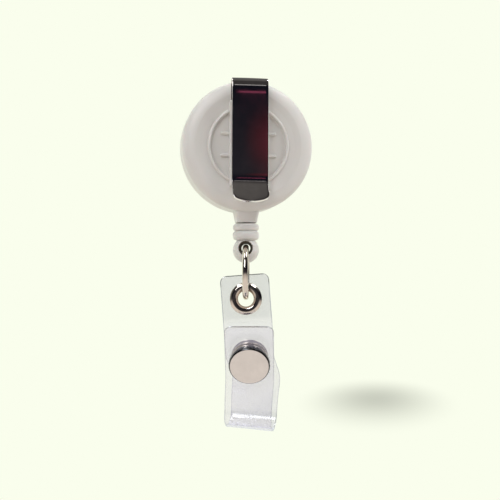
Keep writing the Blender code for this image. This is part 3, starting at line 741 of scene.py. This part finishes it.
def clip_path():
    """The clip's middle line as (y, z, half width), up from the tail, over the bend and down to the lip."""
    shoulder = CENTRE.z + HOLDER_TOP + FIT
    foot = CENTRE.z + TAIL_BOTTOM
    bend_z = -BEND_INSIDE
    path = [(BEND_MIDDLE, foot + (shoulder - foot) * i / 6, TAIL_HALF) for i in range(7)]
    path += [(BEND_MIDDLE, shoulder + 0.02, CLIP_HALF)]
    path += [(BEND_MIDDLE, shoulder + (bend_z - shoulder) * i / 3, CLIP_HALF) for i in (1, 2)]
    path += [(BEND_MIDDLE * c, bend_z + BEND_MIDDLE * s, CLIP_HALF) for c, s in arc((0, 0), 1, 0, 90, 12)]
    top_z = bend_z + BEND_MIDDLE - BEND_LENGTH
    over = arc((0, 0), 1, 90, 180, 24)[1:]
    path += [(BEND_MIDDLE * c, top_z + BEND_LENGTH * s, CLIP_HALF) for c, s in over]
    holder_face = CENTRE.y - HOLDER_HEIGHT
    crease = Vector((holder_face - FIT - STRIP / 2, CENTRE.z + CREASE_HEIGHT))
    top = Vector((-BEND_MIDDLE, top_z))
    knee = top - Vector((0, KNEE))
    down = (crease - knee).normalized()
    lip = Vector((-sin(LIP_ANGLE), -cos(LIP_ANGLE)))
    before, after = CREASE_REACH
    bent = curved(top, knee, knee + down * KNEE, 8)[1:]
    creased = curved(crease - down * before, crease, crease + lip * after, 16)
    tongue = [bent[-1] + (creased[0] - bent[-1]) * i / 12 for i in range(1, 12)]
    flat = LIP_LENGTH - LIP_ROUND
    flared = [crease + lip * (after + (flat - after) * i / 4) for i in range(1, 5)]
    path += [(*point, CLIP_HALF) for point in [*bent, *tongue, *creased, *flared]]
    for i in range(1, 13):
        share = sin(pi / 2 * i / 12)
        half = CLIP_HALF * (1 - (0.985 * share) ** 2.6) ** 0.5
        path.append((*(crease + lip * (flat + LIP_ROUND * share)), half))
    return path


def make_clip(steel):
    """The whole spring clip, one bent strip, made in its shut shape; its bend does not open here."""
    path = clip_path()
    line = [point[:2] for point in path]
    sections = []
    for i, (y, z, half) in enumerate(path):
        along = direction(line, i)
        normal = Vector((along.y, -along.x))
        on_tongue = y < 0
        crown = 0.05 if on_tongue else 0
        sections.append(strip_section(y, z, normal, half, STRIP, 0.12, 14, crown))
    clip = made("belt_clip", lofted(sections), steel, SHARED, sharp=40)
    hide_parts("clip_base_leg", "clip_tongue")
    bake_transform(clip)


# Power spring, cord and end fitting


def spring_strip(name, points, steel):
    """The spring's flat strip on edge along points across the case, with its own edges a little broken."""
    edge = 0.05
    near, far = CENTRE.y - SPRING_HIGH, CENTRE.y - SPRING_LOW
    sections = []
    for i, point in enumerate(points):
        along = direction(points, i)
        off = Vector((-along.y, along.x)) * SPRING_STRIP / 2
        a, b = point - off, point + off
        inset = off.normalized() * edge
        outline = [(a, near + edge), (a + inset, near), (b - inset, near), (b, near + edge)]
        outline += [(b, far - edge), (b - inset, far), (a + inset, far), (a, far - edge)]
        sections.append([(xy.x, xy.y, height) for xy, height in outline])
    return made(name, lofted(sections), steel, CASE)


def make_power_spring(steel):
    """The coil turns with the spool. Its inner end is a tang of its own, which stays in the post's slit."""
    turn_steps = 40
    steps = turn_steps * SPRING_TURNS
    coil = []
    for i in range(steps + 1):
        angle = 2 * pi * i / turn_steps - pi / 2
        radius = SPRING_START + (SPRING_END - SPRING_START) * i / steps
        coil.append(Vector((cos(angle), sin(angle))) * radius)
    fitted(spring_strip("spring_coil", coil, steel), "spool", "spring_steel", "power_spring")
    tang = [Vector((0, -(TANG_START + (TANG_END - TANG_START) * i / 6))) for i in range(7)]
    fitted(spring_strip("spring_tang", tang, steel), "case", "spring_steel")


def smooth(points, steps):
    """Points on a Catmull-Rom curve through the given ones."""
    ends = [points[0], *points, points[-1]]
    curve = []
    for i in range(len(points) - 1):
        a, b, c, d = (Vector(p) for p in ends[i : i + 4])
        for k in range(steps):
            t = k / steps
            square, cube = (2 * a - 5 * b + 4 * c - d) * t**2, (3 * b - a - 3 * c + d) * t**3
            curve.append((2 * b + (c - a) * t + square + cube) / 2)
    return [*curve, Vector(points[-1])]


def make_cord_run(nylon):
    """The cord from the spool through the funnel and down into the end fitting."""
    low = Z_KNOT + KNOT_RADIUS + TIGHT_FIT
    route = [
        (5.57, -12.52, 0),
        (3.60, -13.35, 0),
        (1.90, -14.05, 0),
        (0.70, -14.90, 0),
        (0.12, -15.95, 0),
        (0, -17.2, 0),
        (0, -18.6, 0),
        (0, low, 0),
    ]
    cord = made("cord", tube(smooth(route, 8), CORD_RADIUS), nylon, CASE)
    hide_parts("cord_run")
    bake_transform(cord)


def make_windings(nylon):
    """The wound cord in its layers. Late in each turn it steps over, or up to the next layer."""
    steps, late, last = 60, 0.88, LAYER_TURNS - 1
    path = []
    for layer, radius in enumerate(LAYER_RADII):
        way = 1 if layer == 0 else -1
        for i in range(LAYER_TURNS * steps):
            column, step = divmod(i, steps)
            moved = max(step / steps - late, 0) / (1 - late)
            over = moved if column < last else 0
            up = moved if column == last and layer == 0 else 0
            angle = 2 * pi * step / steps
            r = radius + (LAYER_RADII[1] - LAYER_RADII[0]) * up
            height = way * WOUND_PITCH * (column + over - last / 2)
            path.append((r * cos(angle), r * sin(angle), height))
    wound = made("wound_cord", tube(path, WOUND_RADIUS, 10), nylon, CASE)
    fitted(wound, "spool", "cord_nylon", "cord_windings")


def bead(swell, middle, half):
    """The outline of one of the fitting's beads, from its top down."""
    return [(2.62 + swell * c, middle + half * s) for c, s in arc((0, 0), 1, 86, -86, 12)]


def make_end_fitting(plastic, hole_shade):
    """Two beads over a pierced ball, hollow at the top for the cord's knot."""
    room = KNOT_RADIUS + FIT
    mouth = 0.6
    hollow = [(0, Z_KNOT - room), (room, Z_KNOT - room), (room, Z_KNOT + room), (mouth, Z_KNOT + room)]
    rim = [(mouth, Z_FITTING - 0.1), (mouth + 0.12, Z_FITTING), (2.1, Z_FITTING)]
    beads = bead(0.58, -19.62, 0.86) + bead(0.63, -21.6, 1.08)
    ball = arc((0, Z_BALL), BALL_RADIUS, 47, -90, 40)
    profile = [*hollow, *rim, *beads, *ball]
    fitting = made("fitting", turned(profile, SMALL_ROUND), plastic, STRAP)
    flare = [
        (2.2, -3.6, 0),
        (HOLE_RADIUS, -2.3, 1),
        (HOLE_WAIST, -0.9, 1),
        (HOLE_WAIST, 0, 0),
    ]
    reach = 6
    half = [(0, -reach), (2.4, -reach), *filleted(flare)]
    across = facing_frame(Z_HOLE)
    cut(fitting, turned([*half, *[(r, -h) for r, h in reversed(half[:-1])]], 64), across)
    # Faces round the hole's axis take the near-black plastic: painted shade inside the ring's hole
    fitting.data.materials.append(hole_shade)
    to_hole = across.inverted()
    for face in fitting.data.polygons:
        off_axis = (to_hole @ face.center).xy.length
        face.material_index = 1 if off_axis < HOLE_SHADE_RADIUS else 0
    fitted(evened(fitting), "fitting", "case_plastic", "end_fitting")


def make_knot(nylon):
    """The knot that holds the cord in the end fitting."""
    lumps = [(KNOT_RADIUS * 0.93 * cos(a), a) for a in (radians(d) for d in range(-84, 85, 8))]
    profile = [(0, -KNOT_RADIUS), *[(r, KNOT_RADIUS * sin(a)) for r, a in lumps], (0, KNOT_RADIUS)]
    place = STRAP @ Matrix.Translation((0, 0, Z_KNOT))
    knot = made("knot", turned(profile, 32), nylon, place)
    fitted(knot, "cord", "cord_nylon", "cord_knot")


def make_ring(nickel):
    """A round wire bent into a ring, whose ends meet in a fine joint."""
    around, sides, joint = 180, 28, 66
    dips = {0: 0.06, 1: 0.015}
    sections = []
    for i in range(around):
        turn = 2 * pi * i / around
        wire = WIRE_RADIUS - dips.get(abs(i - joint), 0)
        section = []
        for x, out in arc((0, RING_RADIUS), wire, 0, 360 - 360 / sides, sides - 1):
            section.append((x, out * sin(turn), out * cos(turn)))
        sections.append(section)
    fitted(made("ring", lofted(sections, ring=True), nickel, RING), "ring", "nickel", "steel_ring")


# Strap


def lean_at(z):
    """How far across the strap's middle line is at a height, and its sideways slope there."""
    depth = Z_BEND - z
    if depth < 0:
        return TOP_LEAN * (Z_EYELET - z), TOP_LEAN
    change = (LOOP_LEAN - TOP_LEAN) / (Z_BEND - Z_LOOP)
    across = TOP_LEAN * (Z_EYELET - Z_BEND) + TOP_LEAN * depth + change * depth**2 / 2
    return across, TOP_LEAN + change * depth


def hung(point, lean):
    """A point of the straight strap, moved as the strap leans at its top and twists towards its loop."""
    x, y, z = point
    across, slope = lean
    share = min(max((Z_TWIST - z) / (Z_TWIST - Z_LOOP), 0), 1)
    turn = LOOP_TWIST * share**2 * (3 - 2 * share)
    back = y - TWIST_CENTRE_Y
    return (
        across + x * cos(turn) - back * sin(turn),
        TWIST_CENTRE_Y + x * sin(turn) + back * cos(turn),
        z + x * slope,
    )


def hermite(start, start_way, end, end_way, steps):
    """Points from start to end, leaving and arriving along the two given vectors."""
    p, q, u, v = (Vector(x) for x in (start, end, start_way, end_way))
    points = []
    for k in range(steps + 1):
        t = k / steps
        a, b, c, d = 2 * t**3 - 3 * t**2 + 1, t**3 - 2 * t**2 + t, 3 * t**2 - 2 * t**3, t**3 - t**2
        points.append(tuple(a * p + b * u + c * q + d * v))
    return points


def straight(start, end, steps):
    start, end = Vector(start), Vector(end)
    return [tuple(start.lerp(end, i / steps)) for i in range(steps + 1)]


DOWN_ZONE = Vector((sin(SNAP_TILT), -cos(SNAP_TILT)))
TO_LEG = Vector((cos(SNAP_TILT), sin(SNAP_TILT)))
BEND_END = Vector((BEND_RADIUS * (1 - cos(SNAP_TILT)), Z_BEND - BEND_RADIUS * sin(SNAP_TILT)))
LEG_AT_SNAP = BEND_END + DOWN_ZONE * SNAP_ZONE / 2
SNAP_YZ = LEG_AT_SNAP - TO_LEG * LAYER_GAP / 2
SNAP = Vector((lean_at(SNAP_YZ.y)[0], SNAP_YZ.x, SNAP_YZ.y))
SNAP_FRAME = STRAP @ Matrix.Translation(SNAP) @ Matrix.Rotation(pi / 2 + SNAP_TILT, 4, "X")


def corner_depths():
    """How far from the strap's end the sections of its round corners are."""
    return [STRAP_CORNER * (1 - cos(radians(a))) for a in range(0, 91, CORNER_ANGLE)]


def leg_path():
    """The long leg's middle line, from its top corners to the bottom of the fold."""
    points = [(0, Z_STRAP_TOP - d) for d in corner_depths()]
    points += straight(points[-1], (0, Z_BEND), 16)[1:]
    bend = arc((0, 0), BEND_RADIUS, 0, degrees(SNAP_TILT), 14)
    points += [(BEND_RADIUS - y, Z_BEND - z) for y, z in bend][1:]
    zone_end = tuple(LEG_AT_SNAP + DOWN_ZONE * SNAP_ZONE / 2)
    points += straight(points[-1], zone_end, 20)[1:]
    fold_back = (LOOP_CENTRE_Y + LOOP_RADIUS, Z_LOOP)
    points += hermite(zone_end, DOWN_ZONE * 9, fold_back, (0, -12), 26)[1:]
    return points + arc((LOOP_CENTRE_Y, Z_LOOP), LOOP_RADIUS, 0, -90, 24)[1:]


def flap_path():
    """The flap's middle line, from its tip's corners to the bottom of the fold."""
    zone_end = LEG_AT_SNAP + DOWN_ZONE * SNAP_ZONE / 2
    front_end = tuple(zone_end - TO_LEG * LAYER_GAP)
    tip = LEG_AT_SNAP - TO_LEG * LAYER_GAP - DOWN_ZONE * FLAP_TIP
    points = [tuple(tip + DOWN_ZONE * d) for d in corner_depths()]
    points += straight(points[-1], front_end, 26)[1:]
    fold_front = (LOOP_CENTRE_Y - LOOP_RADIUS, Z_LOOP)
    points += hermite(front_end, DOWN_ZONE * 8, fold_front, (0, -7), 18)[1:]
    return points + arc((LOOP_CENTRE_Y, Z_LOOP), LOOP_RADIUS, 180, 270, 24)[1:]


def strap_width(i):
    """Half the strap's width at a path's i-th point, which is less at the end's round corners."""
    if i * CORNER_ANGLE > 90:
        return STRAP_HALF
    return STRAP_HALF - STRAP_CORNER * (1 - sin(radians(CORNER_ANGLE * max(i, 0.4))))


def strap_sections(path, placed, side):
    """The strap's sections along a path, whose inner face is on the given side."""
    sections = []
    for i, (y, z) in enumerate(path):
        along = direction(path, i)
        normal = Vector((along.y, -along.x)) * side
        flat = strip_section(y, z, normal, strap_width(i), VINYL, 0.2, SHEET_COLUMNS)
        sections.append([placed(point) for point in flat])
    return sections


def drift_at(z):
    """How far the long leg is to one side of the flap, which grows below the snap and goes at the loop."""
    top, middle, low = Z_DRIFT
    share = (top - z) / (top - middle) if z > middle else (z - low) / (middle - low)
    share = min(max(share, 0), 1)
    return LEG_DRIFT * share**2 * (3 - 2 * share)


def hung_leg(point):
    x, y, z = hung(point, lean_at(point[2]))
    return (x + drift_at(point[2]), y, z)


def hung_flap(point):
    return hung(point, lean_at(point[2]) if point[2] < SNAP.z else (lean_at(SNAP.z)[0], 0))


def punch(strap, radius, place):
    """A round hole through the layer at a place."""
    reach = 1.2
    profile = [(0, -reach), (radius, -reach), (radius, reach), (0, reach)]
    cut(strap, turned(profile, 48), place)


def make_strap(vinyl, vinyl_end_shade, vinyl_side_shade):
    """The whole strap in one piece: down the back, round the fold and up the flap to the snap."""
    sections = strap_sections(leg_path(), hung_leg, 1)
    sections += list(reversed(strap_sections(flap_path(), hung_flap, -1)))[1:]
    bm = lofted(sections)
    count, edge_faces = len(sections[0]), 7
    right, left = SHEET_COLUMNS, 2 * SHEET_COLUMNS + edge_faces
    end_rows, corner_rows = 3, 11
    for i, face in enumerate(bm.faces):
        row, column = divmod(i, count)
        from_end = min(row, len(sections) - 2 - row)
        on_side = right <= column < right + edge_faces or column >= left
        at_end = from_end < end_rows or (on_side and from_end < corner_rows)
        # Faces near the strap's cut ends and along its cut sides take darker vinyls: painted shade for the
        # dark lines of cut edges
        face.material_index = 1 if at_end else 2 if on_side else 0
    strap = made("strap_sheet", bm, vinyl, STRAP, sharp=50)
    strap.data.materials.append(vinyl_end_shade)
    strap.data.materials.append(vinyl_side_shade)
    punch(strap, BARREL_RADIUS + TIGHT_FIT, facing_frame(Z_EYELET))
    punch(strap, POST_BARREL + FIT, SNAP_FRAME @ Matrix.Translation((0, 0, -LAYER_GAP / 2)))
    punch(strap, CAP_BARREL + FIT, SNAP_FRAME @ Matrix.Translation((0, 0, LAYER_GAP / 2)))
    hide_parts("strap", "strap_flap")
    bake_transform(strap)


# Eyelet and snap


def lathed(name, corners, closed, material, place, steps=5):
    """A small turned piece from (radius, height, rounding) corners."""
    return made(name, turned(filleted(corners, closed, steps), SMALL_ROUND, closed), material, place)


def make_eyelet(nickel):
    """A rolled flange in front with its barrel spread over a washer behind."""
    front, rear = VINYL / 2 + TIGHT_FIT, -VINYL / 2 - TIGHT_FIT
    washer_back = rear - 0.5
    spread = washer_back - TIGHT_FIT
    place = facing_frame(Z_EYELET)
    roll = [
        (BARREL_RADIUS, front, 0),
        (EYELET_RADIUS, front, 0.05),
        (EYELET_RADIUS, front + 0.35, 0.3),
        (3.35, front + 0.86, 0.5),
        (2.45, front + 0.84, 0.6),
        (EYELET_HOLE, front + 0.35, 0.5),
        (EYELET_HOLE, spread - 0.05, 0.25),
        (2.2, spread - 0.35, 0.2),
        (2.9, spread - 0.3, 0.12),
        (2.9, spread, 0.03),
        (BARREL_RADIUS, spread, 0),
    ]
    fitted(lathed("rolled_eyelet", roll, True, nickel, place, 8), "strap", "nickel", "eyelet")
    bore, edge = BARREL_RADIUS + TIGHT_FIT, 3.9
    washer = [
        (bore, washer_back, 0.06),
        (edge - 0.3, washer_back, 0.3),
        (edge, rear - 0.2, 0.1),
        (edge, rear, 0.05),
        (bore, rear, 0.04),
    ]
    fitted(lathed("domed_washer", washer, True, nickel, place, 6), "strap", "nickel", "eyelet_washer")


def make_snap_front(satin, dark, nickel):
    """The cap over the flap, and behind the flap the socket with its spring."""
    front = LAYER_GAP / 2 + VINYL / 2 + TIGHT_FIT
    inner = LAYER_GAP / 2 - VINYL / 2 - TIGHT_FIT
    cap = [
        (0, 0.75, 0),
        (CAP_BARREL, 0.75, 0.1),
        (CAP_BARREL, front, 0.1),
        (4.75, front, 0.1),
        (CAP_RADIUS, front + 0.2, 0.15),
        (CAP_RADIUS, CAP_FACE - 0.42, 0.3),
        (4.78, CAP_FACE - 0.04, 0.25),
        (4.2, CAP_FACE, 0.3),
        (0, CAP_FACE, 0),
    ]
    piece = lathed("cap", cap, False, satin, SNAP_FRAME, 8)
    # The rim's faces that turn away from the cap's axis take a near-black metal: painted shade on the cap's
    # rim
    piece.data.materials.append(dark)
    axis = (SNAP_FRAME.to_3x3() @ Vector((0, 0, 1))).normalized()
    for face in piece.data.polygons:
        face.material_index = 1 if face.normal.dot(axis) < 0.97 else 0
    fitted(piece, "flap", "satin_nickel", "snap_cap")
    bore = CAP_BARREL + FIT
    socket = [
        (bore, inner, 0.05),
        (4.3, inner, 0.15),
        (4.42, inner - 0.3, 0.1),
        (SOCKET_RADIUS, inner - 0.38, 0.15),
        (SOCKET_RADIUS, inner - 0.75, 0.2),
        (3.6, -0.1, 0.25),
        (3.4, -0.45, 0.15),
        (1.95, -0.45, 0.12),
        (1.95, -0.1, 0.05),
        (2.75, -0.1, 0.05),
        (2.75, 0.6, 0.1),
        (bore, 0.6, 0.05),
    ]
    fitted(lathed("socket", socket, True, nickel, SNAP_FRAME), "flap", "nickel", "snap_socket")
    wire = [(x, y, 0.25) for x, y in arc((0, 0), 2.3, 90, 90 - 325, 90)]
    spring = made("spring_wire", tube(wire, 0.22, 12), nickel, SNAP_FRAME)
    fitted(spring, "flap", "spring_steel", "snap_spring")


def make_snap_back(nickel):
    """The stud inside the leg, and behind the leg the post that holds it."""
    inner = -LAYER_GAP / 2 + VINYL / 2 + TIGHT_FIT
    rear = -LAYER_GAP / 2 - VINYL / 2 - TIGHT_FIT
    bore = POST_BARREL + FIT
    stud = [
        (0, -0.15, 0),
        (bore, -0.15, 0.05),
        (bore, inner, 0.05),
        (STUD_FLANGE, inner, 0.06),
        (STUD_FLANGE, inner + 0.5, 0.2),
        (3.0, inner + 0.6, 0.3),
        (STUD_RADIUS - 0.05, inner + 0.6, 0.2),
        (STUD_RADIUS, 0.2, 0.1),
        (1.15, 0.5, 0.25),
        (0, 0.5, 0),
    ]
    fitted(lathed("stud", stud, False, nickel, SNAP_FRAME), "strap", "nickel", "snap_stud")
    post = [
        (0, rear - 0.5, 0),
        (3.7, rear - 0.5, 0.3),
        (REAR_FLANGE, rear - 0.25, 0.2),
        (REAR_FLANGE, rear, 0.05),
        (POST_BARREL, rear, 0.05),
        (POST_BARREL, -0.3, 0.1),
        (0, -0.3, 0),
    ]
    fitted(lathed("post_flange", post, False, nickel, SNAP_FRAME), "strap", "nickel", "snap_post")


# Setting


def add_area_light(name, place, aimed_at, size, power, colour):
    data = bpy.data.lights.new(name, "AREA")
    data.shape = "RECTANGLE"
    data.size, data.size_y = size
    data.energy = power
    data.color = colour
    light = linked(name, data)
    light.location = place
    light.rotation_euler = (Vector(aimed_at) - Vector(place)).to_track_quat("-Z", "Y").to_euler()
    return light


def elevation_colours(tree, height, stops):
    """A colour by the elevation of a direction, from (degrees, colour) stops."""
    place = ranged(tree, height, 0, 1, -pi / 2, pi / 2)
    ramp = add_node(tree, "ValToRGB", {"Fac": place})
    elements = ramp.color_ramp.elements
    elements[1].position = 1.0
    for elevation, _ in stops[1:-1]:
        elements.new((elevation + 90) / 180)
    for element, (_, colour) in zip(elements, stops):
        element.color = (*colour, 1)
    return ramp.outputs["Color"]


def over(tree, angle, limits, low, high):
    """From low to high as an angle goes over a range of degrees."""
    return ranged(tree, angle, low, high, *map(radians, limits))


def make_world():
    """The room that metal reflects: dark in front with a red glow to the right, grey above, warm below, and
    pale behind the object."""
    world = bpy.data.worlds.new("room")
    world.use_nodes = True
    bpy.context.scene.world = world
    tree = world.node_tree
    way = add_node(tree, "TexCoord").outputs["Generated"]
    parts = add_node(tree, "SeparateXYZ", {0: way}).outputs
    height = worked(tree, "ARCSINE", parts["Z"])
    room = elevation_colours(tree, height, ROOM)
    aside = worked(tree, "ARCTAN2", parts["X"], worked(tree, "MULTIPLY", parts["Y"], -1.0))
    share = worked(tree, "MULTIPLY", over(tree, aside, GLOW_IN, 0, 1), over(tree, aside, GLOW_OUT, 1, 0))
    glow = tinted(tree, share, (0, 0, 0), (1, 1, 1))
    glow = mixed(tree, 1.0, glow, elevation_colours(tree, height, GLOW), "MULTIPLY")
    away = ranged(tree, parts["Y"], 0, 1, 0.0, 0.4)
    share = worked(tree, "MULTIPLY", away, over(tree, height, PALE_OUT, 1, 0))
    behind = tinted(tree, share, (0, 0, 0), PALE)
    colour = mixed(tree, 1.0, mixed(tree, 1.0, room, glow, "LIGHTEN"), behind, "LIGHTEN")
    tree.links.new(colour, tree.nodes["Background"].inputs["Color"])


def make_backdrop():
    """A pale wall all round and a pale floor far below, which only the camera sees."""
    pale = glowing("pale", PALE)
    bm = bmesh.new()
    bmesh.ops.create_icosphere(bm, subdivisions=4, radius=BACKDROP_RADIUS)
    wall = made("backdrop", bm, pale, Matrix.Translation(LOOKED_AT))
    half = STAGE_FLOOR_HALF
    corners = [(-half, -half), (half, -half), (half, half), (-half, half)]
    flat = bmesh.new()
    flat.faces.new([flat.verts.new((x, y, STAGE_FLOOR_Z)) for x, y in corners])
    floor = made("floor", flat, pale)
    for obj in (wall, floor):
        obj.visible_diffuse = obj.visible_glossy = obj.visible_shadow = False


def make_soft_shadow():
    """The soft shadow on the floor behind the object, a patch that darkens what is seen through it."""
    material, tree, surface = bare_material("soft_shadow")
    place = add_node(tree, "TexCoord").outputs["Object"]
    turn = (0, 0, SHADOW_TURN)
    settings = {"Vector": place, "Location": SHADOW_CENTRE, "Rotation": turn, "Scale": SHADOW_SIZE}
    mapped = add_node(tree, "Mapping", settings, vector_type="TEXTURE")
    far = add_node(tree, "VectorMath", {0: mapped.outputs[0]}, operation="LENGTH").outputs["Value"]
    fading = ranged(tree, far, SHADOW_DARKEST, 1, 0, 1, "SMOOTHSTEP")
    clear = add_node(tree, "BsdfTransparent", {"Color": fading})
    tree.links.new(clear.outputs[0], surface)
    bm = bmesh.new()
    bmesh.ops.create_circle(bm, cap_ends=True, radius=1.0, segments=64)
    spread = Matrix.Rotation(SHADOW_TURN, 4, "Z") @ Matrix.Diagonal((SHADOW_SIZE.x, SHADOW_SIZE.y, 1, 1))
    patch = made("soft_shadow", bm, material, Matrix.Translation(SHADOW_CENTRE) @ spread)
    patch.visible_diffuse = patch.visible_glossy = patch.visible_shadow = False


def make_lights():
    for lights, mirrored in ((MIRRORED_LIGHTS, True), (SOFT_LIGHTS, False)):
        for name, place, aim, size, power, colour in lights:
            light = add_area_light(name, place, (0, 0, aim), size, power, colour)
            light.visible_glossy = mirrored


def add_camera():
    data = bpy.data.cameras.new("camera")
    data.lens = FOCAL_LENGTH
    camera = linked("camera", data)
    place = Vector((sin(CAMERA_AZIMUTH), -cos(CAMERA_AZIMUTH), 0)) * CAMERA_DISTANCE
    camera.location = LOOKED_AT + place
    camera.location.z = CAMERA_HEIGHT
    camera.rotation_euler = (LOOKED_AT - camera.location).to_track_quat("-Z", "Y").to_euler()
    bpy.context.scene.camera = camera


def finish_node(node, material):
    """Gives a carried-over CAD node its own finish."""
    obj = bpy.data.objects[node]
    obj.data.materials.clear()
    obj.data.materials.append(material)


def build():
    plastic = moulded_plastic("case_plastic", (0.63, 0.615, 0.59), 0.33)
    # Near-black plastic for the painted shade inside the end fitting's hole
    hole_shade = moulded_plastic("hole_shade_plastic", (0.13, 0.115, 0.09), 0.4)
    spool_plastic = moulded_plastic("spool_plastic", (0.78, 0.77, 0.74), 0.5)
    steel = plated("clip_steel", (0.80, 0.76, 0.76), 0.05, 0.04, (1, 1, 0.05), 0.03)
    nickel = plated("nickel", (0.72, 0.66, 0.60), 0.08, 0.08, (1, 1, 1), 0.05)
    satin = plated("satin_nickel", (0.745, 0.715, 0.70), 0.32, 0.08, (1, 1, 1), 0.35)
    # Near-black metal for the painted shade on the snap cap's rim
    dark = plated("painted_rim_shade", (0.10, 0.10, 0.105), 0.2, 0.1, (1, 1, 1), 0.1)
    spring_steel = plated("spring_steel", (0.42, 0.43, 0.45), 0.25, 0.15, (1, 1, 0.1), 0.1)
    nylon = braided_cord("cord_nylon", (0.72, 0.70, 0.66))
    vinyl = clear_vinyl("clear_vinyl", (0.62, 0.59, 0.90), 0.2, 0.7)
    # Darker, more opaque vinyls for the strap's cut ends and sides: painted shade on its edges
    vinyl_end_shade = clear_vinyl("vinyl_end_shade", (0.16, 0.17, 0.18), 0.7, 0.85)
    vinyl_side_shade = clear_vinyl("vinyl_side_shade", (0.28, 0.31, 0.46), 0.42, 0.7)

    make_back_shell(plastic)
    make_front_shell(plastic)
    make_clip(steel)
    make_power_spring(spring_steel)
    make_cord_run(nylon)
    make_windings(nylon)
    make_end_fitting(plastic, hole_shade)
    make_knot(nylon)
    make_ring(nickel)
    make_strap(vinyl, vinyl_end_shade, vinyl_side_shade)
    make_eyelet(nickel)
    make_snap_front(satin, dark, nickel)
    make_snap_back(nickel)
    finish_node("spool", spool_plastic)
    finish_node("spring_cover", spring_steel)

    make_world()
    make_backdrop()
    make_soft_shadow()
    make_lights()
    bpy.context.scene.view_settings.view_transform = "Standard"
    add_camera()


build()
